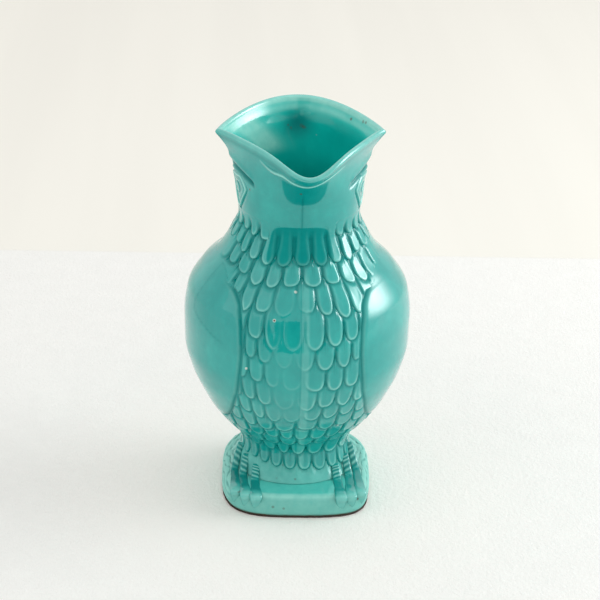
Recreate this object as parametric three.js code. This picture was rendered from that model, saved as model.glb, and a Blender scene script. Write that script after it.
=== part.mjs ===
// A glazed ceramic pitcher in the shape of an owl, standing on a rounded square plinth.
// Millimetres, +Z up. The owl looks towards -Y and its handle is behind it, towards +Y.
// The origin is the centre of the flat unglazed foot. Its own left side is towards +X.
import * as THREE from 'three';

// Heights
const footHeight = 1.2;
const plinthHeight = 11.8;
const vesselHeight = 192.7;
const lipDrop = 9.3;
const backRise = 4.9;

// Plinth and foot
const plinthWidth = 82;
const plinthDepth = 82.6;
const plinthEdgeRound = 2.6;
const footInset = 0.8;
const plinthSquareness = 2.9;

// Vessel, measured across at its narrow and wide places, and from the axis to front and back
const waistWidth = 60;
const bellyWidth = 121.4;
const neckWidth = 64;
const mouthWidth = 88;
const waistFront = 25;
const bellyFront = 60;
const neckFront = 34;
const lipReach = 46.5;
const waistBack = 33;
const bellyBack = 58.5;
const neckBack = 34.5;
const rimBack = 42;
const wallThickness = 3.6;
const rimThickness = 3.4;
const floorThickness = 6;

// Relief on the outside of the vessel
const clearance = 0.3;
const skinGap = 0.45;
const featherRelief = 3;
const backRelief = 0.8;
const reliefStep = 1.5;
const featherWidth = 9.6;
const featherPoint = 4;
const featherOverlap = 1;
const featherMiddleThickness = 0.3;
const featherTopThickness = 0.35;
const wingThickness = 1.8;
const wingEdgeDepth = 0.7;

// Eyes and beak
const eyeHeight = 19;
const eyeWidth = 21;
const eyeThickness = 1.2;
const eyeHollow = 0.5;
const pupilWidth = 7;
const pupilThickness = 1.1;
const beakRidgeHeight = 2.4;
const beakRidgeThickness = 1.1;

// Feet
const toeWidth = 4.2;
const toeThickness = 3.6;
const talonThickness = 1.9;
const toeRise = 12;
const talonLength = 8.5;
const toeGap = 0.5;

// Handle, from its root under the rim round to its root on the shoulder
const handleWidth = 15;
const handleThickness = 9;
const handleRootGrowth = 4;
const handleReach = 36;
const handleRise = 3;

// Tail
const tailTopWidth = 15;
const tailFootWidth = 30;
const tailTopThickness = 1.2;
const tailFootThickness = 5.5;

// Glazes
const turquoise = new THREE.Color(0.10, 0.58, 0.55);
const paleTurquoise = new THREE.Color(0.32, 0.72, 0.68);
const deepTurquoise = new THREE.Color(0.03, 0.44, 0.42);
const bareClay = new THREE.Color(0.30, 0.17, 0.09);

const glaze = { roughness: 0.12, metalness: 0 };
const unglazed = { roughness: 0.85, metalness: 0 };

// Share of the vessel's height, then how far each place has swollen from the narrow size below or
// above it towards the wide one: at the side, at the front and at the back.
const waistToBellyShares = [
  [0, 0.07, 0.057, 0.04],
  [0.036, 0.03, 0.014, 0],
  [0.078, 0, 0, 0],
  [0.114, 0.072, 0.075, 0.078],
  [0.155, 0.296, 0.286, 0.275],
  [0.202, 0.515, 0.5, 0.51],
  [0.254, 0.648, 0.686, 0.706],
  [0.321, 0.818, 0.871, 0.882],
  [0.399, 0.975, 0.986, 0.98],
  [0.477, 1, 1, 1],
];
const neckToBellyShares = [
  [0.554, 0.934, 0.885, 0.875],
  [0.617, 0.687, 0.654, 0.646],
  [0.674, 0.332, 0.346, 0.333],
  [0.725, 0.133, 0.135, 0.104],
  [0.777, 0, 0, 0],
];
const neckToMouthShares = [
  [0.839, 0.073, 0.08, 0.133],
  [0.896, 0.223, 0.28, 0.333],
  [0.948, 0.441, 0.6, 0.533],
  [1, 1, 1, 1],
];

// The mouth is pinched into a lip in front and ears at the sides above this share of the height.
const flareStartShare = 0.845;
const lipPinch = 1.8;
const backPinch = 0.64;
const pinchGrowth = 1.6;
const riseGrowth = 1.5;
const lipSharpness = 16;
const backSharpness = 2.5;

// Share of the height against the angle from straight ahead, in degrees
const wingFrontEdgeShares = [
  [0.171, 84], [0.202, 58], [0.251, 44.5], [0.306, 37.5], [0.36, 33], [0.412, 31.3], [0.474, 30.3],
  [0.528, 31], [0.588, 34.5], [0.617, 40.5], [0.635, 50], [0.658, 63.5], [0.666, 84],
];
const featherEdgeShares = [
  [0, 104], [0.12, 103], [0.145, 96], [0.171, 76], [0.202, 54.5], [0.251, 41.5], [0.306, 35], [0.36, 30.7],
  [0.412, 29.2], [0.474, 28.3], [0.528, 28.8], [0.588, 32], [0.617, 37.5], [0.64, 45], [0.662, 54],
  [0.69, 82], [0.72, 104], [0.803, 104],
];

// Rows of breast feathers: the share of the height at their tips, from the neck down
const featherTipShares = [
  0.689, 0.642, 0.580, 0.505, 0.433, 0.381, 0.319, 0.262, 0.215, 0.171, 0.127, 0.080, 0.031,
];
const featherMiddleShare = 0.45;
const featherMiddleDepthShare = 0.52;
const featherTipDepthShare = 0.3;
const neckFeatherTopShare = 0.803;
const neckFeatherTipShare = 0.741;
const neckFeatherStartAngle = 34;
const featherFieldTopShare = 0.806;
const featherFieldBottomShare = 0.018;
const wingBackAngle = 150;
const neckBackAngle = 105;
const reliefMarginAngle = 1;
const rowEdgeSpreadAngle = 18;
const wingEdgeSteepness = 3;

// Rings of the wall, as shares of its height, and half the height of a step under its relief
const outerRingShares = [
  0, 0.05, 0.078, 0.114, 0.15, 0.202, 0.254, 0.321, 0.399, 0.477, 0.554, 0.617, 0.645,
  0.7, 0.725, 0.75, 0.777, 0.839, 0.868, 0.896, 0.922, 0.948, 0.975, 1,
];
const innerRingShares = [
  0.975, 0.94, 0.896, 0.839, 0.777, 0.725, 0.674, 0.617, 0.54, 0.45, 0.35, 0.254, 0.18, 0.114, 0.078,
];
const stepHalfShare = 0.001;
const rimCrownShare = 0.33;

// Toes: places along the leg, the ledge and the thickness, as shares of their lengths
const ankleShare = 0.4;
const heelShare = 0.15;
const knuckleShare = 0.72;
const thinningShares = [0.5, 0.8];
const bluntShare = 0.05;
const cornerShare = 0.3;
const middleToeShare = 0.76;
const middleTalonShare = 0.72;

const eyeHeightShare = 0.839;
const eyeAngle = 79;
const eyeEdgeShare = 0.6;
const pupilEdgeShare = 0.5;
const discRingShares = [1, 0.8, 0.5];
const beakRidgeShare = 0.94;
const beakRidgeLiftShare = 0.018;
const beakRidgeHalfAngle = 38;
const beakRidgeEdgeShare = 0.5;
const handleTopRootShare = 0.893;
const handleFootRootShare = 0.565;
const handleRootSharpness = 6;
// How far out from its root, then how far down, each point of the handle's curve lies
const handlePathShares = [[0, 0], [0.42, 0], [0.85, 0.12], [1, 0.4], [0.8, 0.72], [0.35, 0.93], [0, 1]];
const tailTopShare = 0.34;
const tailFootShare = 0.03;
const tailCrownShare = 0.8;

// How finely the faces are cut
const columnCount = 48;
const stepsPerFeather = 4;
const handleSides = 12;
const handleSteps = 18;
const toeSides = 8;
const toeSteps = 12;
const eyeSides = 20;
const wingColumns = 10;
const wingRows = 16;
const beakRidgeColumns = 12;
const tailColumns = 8;
const tailRows = 8;

const vesselBottom = footHeight + plinthHeight + clearance;
const degree = Math.PI / 180;
const halfTurn = Math.PI / degree;
const wingBottomShare = wingFrontEdgeShares[0][0];
const wingTopShare = wingFrontEdgeShares[wingFrontEdgeShares.length - 1][0];
const wingFieldBottomShare = wingBottomShare - reliefStep / vesselHeight;
const wingFieldTopShare = wingTopShare + reliefStep / vesselHeight;

function mix(from, to, share) {
  return from + (to - from) * share;
}

function clampShare(value) {
  return Math.min(1, Math.max(0, value));
}

function easeShare(value) {
  const share = clampShare(value);
  return share * share * (3 - 2 * share);
}

// A smooth curve through points of [place, value] that never swings past them.
function curveThrough(points) {
  const last = points.length - 1;
  const slopes = points.slice(1).map((point, i) => (point[1] - points[i][1]) / (point[0] - points[i][0]));
  const tangents = points.map((point, i) => {
    if (i === 0) return slopes[0];
    if (i === last) return slopes[last - 1];
    const product = slopes[i - 1] * slopes[i];
    return product > 0 ? 2 * product / (slopes[i - 1] + slopes[i]) : 0;
  });
  return (place) => {
    let i = 0;
    while (i < last - 1 && place > points[i + 1][0]) i += 1;
    const length = points[i + 1][0] - points[i][0];
    const t = clampShare((place - points[i][0]) / length);
    const rise = tangents[i] * length;
    const run = tangents[i + 1] * length;
    const [from, to] = [points[i][1], points[i + 1][1]];
    return from + t * (rise + t * (3 * (to - from) - 2 * rise - run + t * (2 * (from - to) + rise + run)));
  };
}

// The reach of the vessel from its axis at each share of its height, in one direction.
function reachCurve(column, waist, belly, neck, mouth) {
  return curveThrough([
    ...waistToBellyShares.map((row) => [row[0], mix(waist, belly, row[column])]),
    ...neckToBellyShares.map((row) => [row[0], mix(neck, belly, row[column])]),
    ...neckToMouthShares.map((row) => [row[0], mix(neck, mouth, row[column])]),
  ]);
}

const sideReach = reachCurve(1, waistWidth / 2, bellyWidth / 2, neckWidth / 2, mouthWidth / 2);
const frontReach = reachCurve(2, waistFront, bellyFront, neckFront, lipReach);
const backReach = reachCurve(3, waistBack, bellyBack, neckBack, rimBack);
const wingFrontEdge = curveThrough(wingFrontEdgeShares);
const featherEdge = curveThrough(featherEdgeShares);

// A point of the vessel's outside at an angle from straight ahead, in degrees, and a share of its
// height. The rim dips at the lip and rises at the back. depth goes inwards from the highest relief.
function vesselPoint(angle, level, depth = 0) {
  const sine = Math.sin(angle * degree);
  const cosine = Math.cos(angle * degree);
  const ahead = cosine > 0;
  const flare = clampShare((level - flareStartShare) / (1 - flareStartShare));
  const pinch = 1 + (ahead ? lipPinch : backPinch) * flare ** pinchGrowth;
  const reach = (ahead ? frontReach(level) : backReach(level)) - depth;
  const rise = ahead ? -lipDrop * cosine ** lipSharpness : backRise * (-cosine) ** backSharpness;
  return new THREE.Vector3(
    (sideReach(level) - depth) * sine,
    (ahead ? -reach : reach) * Math.abs(cosine) ** pinch,
    vesselBottom + level * vesselHeight + rise * flare ** riseGrowth,
  );
}

// How deep the wall lies under the highest relief at a place.
function reliefDepth(angle, level) {
  const inWings = level > wingFieldBottomShare && level < wingFieldTopShare;
  const turned = Math.abs(((angle + halfTurn) % (2 * halfTurn)) - halfTurn);
  const covered = turned <= (inWings ? wingBackAngle : neckBackAngle) + reliefMarginAngle;
  const within = level > featherFieldBottomShare && level < featherFieldTopShare;
  if (!within) return 0;
  return covered ? featherRelief : backRelief;
}

function wallPoint(angle, level) {
  return vesselPoint(angle, level, reliefDepth(angle, level));
}

// Turns the faces of a closed body outwards: its volume comes out positive when they point out.
function facingOut(positions, triangles) {
  let volume = 0;
  for (const [a, b, c] of triangles) {
    volume += positions[a].dot(new THREE.Vector3().crossVectors(positions[b], positions[c]));
  }
  const ordered = volume < 0 ? triangles.map(([a, b, c]) => [a, c, b]) : triangles;
  const coordinates = positions.flatMap((point) => point.toArray());
  const geometry = new THREE.BufferGeometry();
  geometry.setAttribute('position', new THREE.Float32BufferAttribute(coordinates, 3));
  geometry.setIndex(ordered.flat());
  geometry.computeVertexNormals();
  return geometry;
}

// A body skinned over closed rings of points, with both ends closed at the given centres.
function loftBody(rings, firstCentre, lastCentre) {
  const count = rings[0].length;
  const positions = [...rings.flat(), firstCentre, lastCentre];
  const firstIndex = positions.length - 2;
  const lastIndex = positions.length - 1;
  const lastRing = (rings.length - 1) * count;
  const triangles = [];
  for (let i = 0; i < count; i += 1) {
    const next = (i + 1) % count;
    triangles.push([firstIndex, next, i]);
    triangles.push([lastIndex, lastRing + i, lastRing + next]);
    for (let ring = 0; ring < rings.length - 1; ring += 1) {
      const below = ring * count;
      const above = below + count;
      triangles.push([below + i, below + next, above + next]);
      triangles.push([below + i, above + next, above + i]);
    }
  }
  return facingOut(positions, triangles);
}

// A plate whose outer and inner faces are grids. place(u, v, face) gives a point, with u and v from
// 0 to 1 and face 'outer' or 'inner'.
function plateBody(uCount, vShares, place) {
  const rows = vShares.length;
  const columns = uCount + 1;
  const positions = [];
  for (const face of ['outer', 'inner']) {
    for (const v of vShares) {
      for (let i = 0; i < columns; i += 1) positions.push(place(i / uCount, v, face));
    }
  }
  const size = rows * columns;
  const triangles = [];
  for (let row = 0; row < rows - 1; row += 1) {
    for (let i = 0; i < uCount; i += 1) {
      const a = row * columns + i;
      const b = a + columns;
      triangles.push([a, a + 1, b + 1], [a, b + 1, b]);
      triangles.push([size + a, size + b + 1, size + a + 1], [size + a, size + b, size + b + 1]);
    }
  }
  const border = [];
  for (let i = 0; i < uCount; i += 1) border.push(i);
  for (let row = 0; row < rows - 1; row += 1) border.push(row * columns + uCount);
  for (let i = uCount; i > 0; i -= 1) border.push((rows - 1) * columns + i);
  for (let row = rows - 1; row > 0; row -= 1) border.push(row * columns);
  border.forEach((a, i) => {
    const b = border[(i + 1) % border.length];
    triangles.push([a, size + a, size + b], [a, size + b, b]);
  });
  return facingOut(positions, triangles);
}

function piece(name, geometry, color, finish = glaze) {
  const mesh = new THREE.Mesh(geometry, new THREE.MeshStandardMaterial({ color, ...finish }));
  mesh.name = name;
  return mesh;
}

function evenShares(count) {
  return Array.from({ length: count + 1 }, (_, i) => i / count);
}

// A rounded square outline of the plinth, drawn in from its edge, at one height.
function plinthReach(angle, inset) {
  const across = Math.abs(Math.sin(angle * degree)) / (plinthWidth / 2 - inset);
  const along = Math.abs(Math.cos(angle * degree)) / (plinthDepth / 2 - inset);
  return (across ** plinthSquareness + along ** plinthSquareness) ** (-1 / plinthSquareness);
}

function plinthRing(inset, height) {
  return Array.from({ length: columnCount }, (_, i) => {
    const angle = i * 2 * halfTurn / columnCount;
    const reach = plinthReach(angle, inset);
    return new THREE.Vector3(reach * Math.sin(angle * degree), -reach * Math.cos(angle * degree), height);
  });
}

function makeFoot() {
  const rings = [plinthRing(footInset, 0), plinthRing(footInset, footHeight)];
  const body = loftBody(rings, new THREE.Vector3(), new THREE.Vector3(0, 0, footHeight));
  return piece('unglazed_foot', body, bareClay, unglazed);
}

function makePlinth() {
  const top = footHeight + plinthHeight;
  const rings = [
    plinthRing(footInset / 2, footHeight),
    plinthRing(0, footHeight + plinthEdgeRound / 2),
    plinthRing(0, top - plinthEdgeRound),
    plinthRing(plinthEdgeRound * cornerShare, top - plinthEdgeRound * cornerShare),
    plinthRing(plinthEdgeRound, top),
  ];
  const body = loftBody(rings, new THREE.Vector3(0, 0, footHeight), new THREE.Vector3(0, 0, top));
  return piece('plinth', body, paleTurquoise);
}

// The hollow vessel: outside from its foot to the rim, over the rim, and down the inside.
function makeVesselWall() {
  const steps = [featherFieldBottomShare, wingFieldBottomShare, wingFieldTopShare, featherFieldTopShare];
  const outerLevels = steps.flatMap((level) => [level - stepHalfShare, level + stepHalfShare]);
  outerLevels.push(...outerRingShares);
  outerLevels.sort((a, b) => a - b);
  const rimRound = rimThickness * rimCrownShare;
  const angles = evenShares(columnCount).slice(0, columnCount).map((share) => share * 2 * halfTurn);
  const around = (place) => angles.map(place);
  const innerDepth = (level) => {
    const thinned = easeShare((level - featherFieldTopShare) / (1 - featherFieldTopShare));
    return mix(wallThickness + featherRelief, rimThickness, thinned);
  };
  const floorHeight = vesselBottom + floorThickness;
  const lift = new THREE.Vector3(0, 0, rimRound);
  const rings = [
    ...outerLevels.map((level) => around((angle) => wallPoint(angle, level))),
    around((angle) => vesselPoint(angle, 1, rimThickness / 2).add(lift)),
    around((angle) => vesselPoint(angle, 1, rimThickness)),
    ...innerRingShares.map((level) => around((angle) => vesselPoint(angle, level, innerDepth(level)))),
    around((angle) => vesselPoint(angle, 0, innerDepth(0) + wallThickness).setZ(floorHeight)),
  ];
  const body = loftBody(rings, new THREE.Vector3(0, 0, vesselBottom), new THREE.Vector3(0, 0, floorHeight));
  return piece('vessel_wall', body, turquoise);
}

// A folded wing: a smooth plate between its front edge and the same edge turned to the back.
function makeWing(name, side) {
  const backAngle = wingBackAngle - 2 * reliefMarginAngle;
  const rise = (share) => Math.min(1, Math.sin(share * Math.PI) * wingEdgeSteepness);
  const body = plateBody(wingColumns, evenShares(wingRows), (u, v, face) => {
    const level = mix(wingTopShare, wingBottomShare, (1 - Math.cos(v * Math.PI)) / 2);
    const front = wingFrontEdge(level);
    const angle = mix(front, Math.min(halfTurn - front, backAngle), u);
    const depth = face === 'outer' ? wingEdgeDepth * (1 - rise(u) * rise(v)) : wingThickness;
    return vesselPoint(side * angle, level, depth);
  });
  return piece(name, body, deepTurquoise);
}

// One row of feathers between two angles. Its straight top tucks under the tips of the row above,
// and its pointed lower edge stands out.
function makeFeatherRow(name, topShare, tipShare, count, angleAt, color) {
  const pointShare = featherPoint / vesselHeight;
  const middleDepth = featherRelief * featherMiddleDepthShare;
  const outerDepths = [featherRelief - skinGap - featherTopThickness, middleDepth, 0];
  const innerDepths = [
    featherRelief - skinGap, middleDepth + featherMiddleThickness, featherRelief * featherTipDepthShare,
  ];
  const body = plateBody(count * stepsPerFeather, [0, featherMiddleShare, 1], (u, v, face) => {
    const along = (u * count) % 1;
    const tip = Math.sqrt(Math.max(0, 1 - (2 * along - 1) ** 2));
    const level = mix(topShare, tipShare + pointShare * (1 - tip), v);
    const depths = face === 'outer' ? outerDepths : innerDepths;
    return vesselPoint(angleAt(u, level), level, depths[v === 1 ? 2 : v > 0 ? 1 : 0]);
  });
  return piece(name, body, color);
}

function makeBreastFeathers() {
  const tuck = (featherPoint + featherOverlap) / vesselHeight;
  return featherTipShares.map((tipShare, row) => {
    const topShare = (row === 0 ? neckFeatherTipShare : featherTipShares[row - 1]) + tuck;
    const middle = (topShare + tipShare) / 2;
    const arc = 2 * featherEdge(middle) * degree * (sideReach(middle) + frontReach(middle)) / 2;
    const halves = Math.round(arc / featherWidth / 2 - (row % 2 ? 0 : 0.5));
    const count = 2 * halves + (row % 2 ? 0 : 1);
    const widest = Math.min(featherEdge(topShare), featherEdge(tipShare)) + rowEdgeSpreadAngle;
    const angleAt = (u, level) => mix(-1, 1, u) * Math.min(featherEdge(level), widest);
    const number = String(row + 1).padStart(2, '0');
    return makeFeatherRow(`breast_feathers_row_${number}`, topShare, tipShare, count, angleAt, turquoise);
  });
}

function makeNeckFeathers(name, side) {
  const neckFeatherEndAngle = neckBackAngle - reliefMarginAngle;
  const arc = (neckFeatherEndAngle - neckFeatherStartAngle) * degree * sideReach(neckFeatherTipShare);
  const count = Math.round(arc / featherWidth);
  const angleAt = (u) => side * mix(neckFeatherStartAngle, neckFeatherEndAngle, u);
  return makeFeatherRow(name, neckFeatherTopShare, neckFeatherTipShare, count, angleAt, turquoise);
}

// A disc laid on the side of the head. thickness(r) gives its height above the head at a share of
// its radius, and base is how far its back stands off the head.
function headDisc(side, width, height, base, thickness) {
  const place = (r, i, lift) => {
    const turn = i / eyeSides * 2 * Math.PI;
    const across = r * width / 2 * Math.cos(turn);
    const level = eyeHeightShare + r * height / 2 * Math.sin(turn) / vesselHeight;
    return vesselPoint(side * (eyeAngle + across / sideReach(level) / degree), level, -lift);
  };
  const ring = (r, lift) => Array.from({ length: eyeSides }, (_, i) => place(r, i, lift));
  const rings = [
    ...[...discRingShares].reverse().map((r) => ring(r, base)),
    ...discRingShares.map((r) => ring(r, base + thickness(r))),
  ];
  return loftBody(rings, place(0, 0, base), place(0, 0, base + thickness(0)));
}

function makeEye(name, side) {
  const lift = (r) => {
    if (r === 1) return eyeThickness * eyeEdgeShare;
    return r > eyeEdgeShare ? eyeThickness : eyeThickness - eyeHollow;
  };
  return piece(name, headDisc(side, eyeWidth, eyeHeight, skinGap, lift), turquoise);
}

function makePupil(name, side) {
  const lift = (r) => pupilThickness * (r === 1 ? pupilEdgeShare : 1);
  const base = skinGap + eyeThickness - eyeHollow + clearance;
  return piece(name, headDisc(side, pupilWidth, pupilWidth, base, lift), deepTurquoise);
}

// The raised line under the lip that draws the beak.
function makeBeakRidge() {
  const halfShare = beakRidgeHeight / vesselHeight / 2;
  const body = plateBody(beakRidgeColumns, [0, 0.5, 1], (u, v, face) => {
    const angle = mix(-beakRidgeHalfAngle, beakRidgeHalfAngle, u);
    const lift = beakRidgeLiftShare * (2 * u - 1) ** 2;
    const level = beakRidgeShare + lift + mix(halfShare, -halfShare, v);
    const crest = v > 0 && v < 1 ? 1 : beakRidgeEdgeShare;
    return vesselPoint(angle, level, face === 'outer' ? -skinGap - beakRidgeThickness * crest : -skinGap);
  });
  return piece('beak_ridge', body, paleTurquoise);
}

// A toe that comes down the leg, runs forward over the plinth and ends in a talon on its front.
// order is -1 for the inner toe, 0 for the middle one and 1 for the outer one.
function makeToe(name, side, order) {
  const top = footHeight + plinthHeight;
  const half = toeThickness / 2;
  const talonHalf = talonThickness / 2;
  const sideStep = order * (toeWidth + toeGap);
  const legPlace = (level) => {
    const depth = -half - skinGap;
    const across = sideReach(level) * middleToeShare + sideStep;
    const angle = Math.asin(across / (sideReach(level) - depth)) / degree;
    return vesselPoint(side * angle, level, depth);
  };
  const talonPlace = (height) => {
    const proud = talonHalf + clearance;
    const across = plinthWidth / 2 * middleTalonShare + sideStep;
    const along = (1 - (across / (plinthWidth / 2 + proud)) ** plinthSquareness) ** (1 / plinthSquareness);
    return new THREE.Vector3(side * across, -(plinthDepth / 2 + proud) * along, height);
  };
  const start = legPlace((toeRise - clearance) / vesselHeight);
  const heel = legPlace(0);
  const edge = talonPlace(top - plinthEdgeRound * cornerShare);
  const onLedge = (share, lift) => heel.clone().lerp(edge, share).setZ(top + half + clearance + lift);
  const path = new THREE.CatmullRomCurve3([
    start,
    start.clone().lerp(heel, ankleShare),
    onLedge(heelShare, talonHalf),
    onLedge(knuckleShare, clearance),
    edge,
    talonPlace(top - talonLength),
  ]);
  const rings = evenShares(toeSteps).map((t) => {
    const centre = path.getPoint(t);
    const tangent = path.getTangent(t);
    const across = new THREE.Vector3(1, 0, 0);
    across.addScaledVector(tangent, -across.dot(tangent)).normalize();
    const up = new THREE.Vector3().crossVectors(tangent, across).normalize();
    const fullness = Math.sqrt(1 - (2 * Math.min(1 - bluntShare, Math.max(bluntShare, t)) - 1) ** 4);
    const [thinStart, thinEnd] = thinningShares;
    const deep = mix(half, talonHalf, easeShare((t - thinStart) / (thinEnd - thinStart))) * fullness;
    return Array.from({ length: toeSides }, (_, i) => {
      const roll = i / toeSides * 2 * Math.PI;
      return centre.clone()
        .addScaledVector(across, toeWidth / 2 * fullness * Math.cos(roll))
        .addScaledVector(up, deep * Math.sin(roll));
    });
  });
  return piece(name, loftBody(rings, path.getPoint(0), path.getPoint(1)), paleTurquoise);
}

// The back of the wall at a place across and a share of the height.
function wallBack(x, level) {
  const depth = reliefDepth(halfTurn, level);
  return (backReach(level) - depth) * Math.sqrt(Math.max(0, 1 - (x / (sideReach(level) - depth)) ** 2));
}

function makeHandle() {
  const heightAt = (level) => vesselBottom + level * vesselHeight;
  const [topZ, footZ] = [heightAt(handleTopRootShare), heightAt(handleFootRootShare)];
  const [topY, footY] = [backReach(handleTopRootShare), backReach(handleFootRootShare)];
  const outY = Math.max(topY, footY) + handleReach - handleThickness;
  const path = new THREE.CatmullRomCurve3(handlePathShares.map(([outShare, downShare], i) => {
    const rootY = i < handlePathShares.length / 2 ? topY : footY;
    const rise = i === 1 ? handleRise : 0;
    return new THREE.Vector3(0, mix(rootY, outY, outShare), mix(topZ, footZ, downShare) + rise);
  }));
  const section = (t, i) => {
    const turn = i / handleSides * 2 * Math.PI;
    const tangent = path.getTangent(t);
    const up = new THREE.Vector3(0, -tangent.z, tangent.y);
    const growth = handleRootGrowth * (2 * t - 1) ** handleRootSharpness;
    return path.getPoint(t)
      .addScaledVector(new THREE.Vector3(1, 0, 0), (handleWidth + growth) / 2 * Math.cos(turn))
      .addScaledVector(up, (handleThickness + growth) / 2 * Math.sin(turn));
  };
  // An end is laid on the wall behind it, which it meets all round.
  const seated = (point) => point.setY(
    wallBack(point.x, (point.z - vesselBottom) / vesselHeight) + 2 * clearance);
  const rings = evenShares(handleSteps).map((t, step) => Array.from({ length: handleSides }, (_, i) => {
    const point = section(t, i);
    return step === 0 || step === handleSteps ? seated(point) : point;
  }));
  return piece('handle', loftBody(rings, seated(path.getPoint(0)), seated(path.getPoint(1))), turquoise);
}

// The tail lies on the back of the vessel and swells towards the plinth.
function makeTail() {
  const body = plateBody(tailColumns, evenShares(tailRows), (u, v, face) => {
    const level = mix(tailTopShare, tailFootShare, v);
    const half = mix(tailTopWidth, tailFootWidth, easeShare(v)) / 2;
    const angle = halfTurn + Math.asin((2 * u - 1) * half / sideReach(level)) / degree;
    const crown = Math.sqrt(1 - tailCrownShare * (2 * u - 1) ** 2);
    const thickness = mix(tailTopThickness, tailFootThickness, v * v) * crown;
    return vesselPoint(angle, level, face === 'outer' ? -thickness : backRelief - skinGap);
  });
  return piece('tail', body, deepTurquoise);
}

const sides = [['left', 1], ['right', -1]];
const toes = [['inner', -1], ['middle', 0], ['outer', 1]];

const pitcher = new THREE.Group();
pitcher.add(makeFoot(), makePlinth(), makeVesselWall(), ...makeBreastFeathers());
pitcher.add(makeBeakRidge(), makeHandle(), makeTail());
for (const [sideName, side] of sides) {
  pitcher.add(makeNeckFeathers(`${sideName}_neck_feathers`, side));
  pitcher.add(makeWing(`${sideName}_wing`, side));
  pitcher.add(makeEye(`${sideName}_eye`, side), makePupil(`${sideName}_pupil`, side));
  for (const [toeName, order] of toes) {
    pitcher.add(makeToe(`${sideName}_${toeName}_toe`, side, order));
  }
}

export default pitcher;
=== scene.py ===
"""A glazed ceramic owl pitcher: the finished surface of every moulded form, and a plain stage.

The vessel is one smooth surface, written as a point for each angle from straight ahead and each
share of its height. Feathers, wings and grooves are depths below that surface.
"""

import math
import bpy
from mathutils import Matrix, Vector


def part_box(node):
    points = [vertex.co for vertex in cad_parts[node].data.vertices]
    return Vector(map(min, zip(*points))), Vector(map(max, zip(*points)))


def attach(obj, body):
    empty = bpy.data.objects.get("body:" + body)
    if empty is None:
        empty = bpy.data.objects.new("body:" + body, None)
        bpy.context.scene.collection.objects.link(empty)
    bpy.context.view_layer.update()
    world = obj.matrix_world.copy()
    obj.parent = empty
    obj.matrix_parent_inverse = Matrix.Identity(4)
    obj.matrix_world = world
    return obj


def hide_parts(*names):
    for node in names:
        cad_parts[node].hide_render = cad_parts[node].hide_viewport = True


bl_info = {
    "name": "Owl Pitcher",
    "version": (1, 0, 0),
    "blender": (4, 5, 0),
    "location": "View3D > Sidebar > Owl Pitcher",
    "description": "Builds a glazed ceramic owl pitcher, form by form, with its glaze and stage",
    "category": "Add Mesh",
}

import bpy
import numpy as np
from bpy.props import FloatProperty, FloatVectorProperty, PointerProperty
from bpy.types import Operator, Panel, PropertyGroup
from mathutils import Matrix, Vector

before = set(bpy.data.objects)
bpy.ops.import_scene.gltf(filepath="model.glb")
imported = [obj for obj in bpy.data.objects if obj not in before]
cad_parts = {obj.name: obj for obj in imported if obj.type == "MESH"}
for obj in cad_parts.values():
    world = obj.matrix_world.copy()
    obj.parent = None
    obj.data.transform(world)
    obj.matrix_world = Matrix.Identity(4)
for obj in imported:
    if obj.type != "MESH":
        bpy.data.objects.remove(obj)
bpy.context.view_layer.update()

MM = 0.001
BODY = "root"

# The owl's two sides, and which way each lies along x
SIDES = (("left", 1), ("right", -1))

# The glaze material's name, and the shader that most materials close with
GLAZE_NAME = "pitcher_glaze"
PRINCIPLED = "ShaderNodeBsdfPrincipled"

# Share of the vessel's height, then how far each place has swollen from the narrow size below or
# above it towards the wide one: at the side, at the front and at the back.
WAIST_TO_BELLY_SHARES = (
    (0, 0.12, 0.12, 0.08), (0.018, 0.06, 0.045, 0.02), (0.036, 0.03, 0.014, 0), (0.078, 0, 0, 0),
    (0.114, 0.072, 0.075, 0.078), (0.155, 0.296, 0.286, 0.275), (0.202, 0.515, 0.5, 0.51),
    (0.254, 0.69, 0.686, 0.706), (0.321, 0.872, 0.871, 0.882), (0.399, 0.99, 0.986, 0.98),
    (0.477, 1, 1, 1),
)
NECK_TO_BELLY_SHARES = (
    (0.554, 0.934, 0.885, 0.875), (0.617, 0.687, 0.654, 0.646), (0.674, 0.332, 0.346, 0.333),
    (0.725, 0.133, 0.135, 0.104), (0.777, 0, 0, 0),
)
NECK_TO_MOUTH_SHARES = (
    (0.839, 0.073, 0.03, 0.133), (0.862, 0.11, 0.1, 0.2), (0.896, 0.223, 0.29, 0.333),
    (0.948, 0.441, 0.63, 0.533), (1, 1, 1, 1),
)

# The wall's grid: columns round it if all were close, degrees to which they are, rows over the rim
WALL_COLUMNS = 420
WALL_FINE_ANGLE = 112
RIM_ROWS = 6
RIM_CROWN = 1.5 * MM

# The mouth is pinched into a lip and ears above this share of the height: how strongly in front
# and behind, how far the lip leans in degrees, and powers for how the pinch and the rise grow and
# how narrow the lip and the raised back are
FLARE_START_SHARE = 0.845
LIP_PINCH = 1.8
LIP_LEAN = 4
BACK_PINCH = 0.64
PINCH_GROWTH = 1.6
RISE_GROWTH = 1.5
LIP_SHARPNESS = 16
BACK_SHARPNESS = 2.5

# Where the wing starts: share of the height against degrees from straight ahead
WING_EDGE_SHARES = (
    (0.171, 84), (0.202, 58), (0.251, 44.5), (0.306, 37.5), (0.36, 33), (0.412, 31.3),
    (0.474, 30.3), (0.528, 31), (0.588, 34.5), (0.617, 40.5), (0.635, 50), (0.658, 63.5),
    (0.666, 84),
)
WING_WIDEST_SHARE = 0.474
WING_BACK_ANGLE = 148

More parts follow.
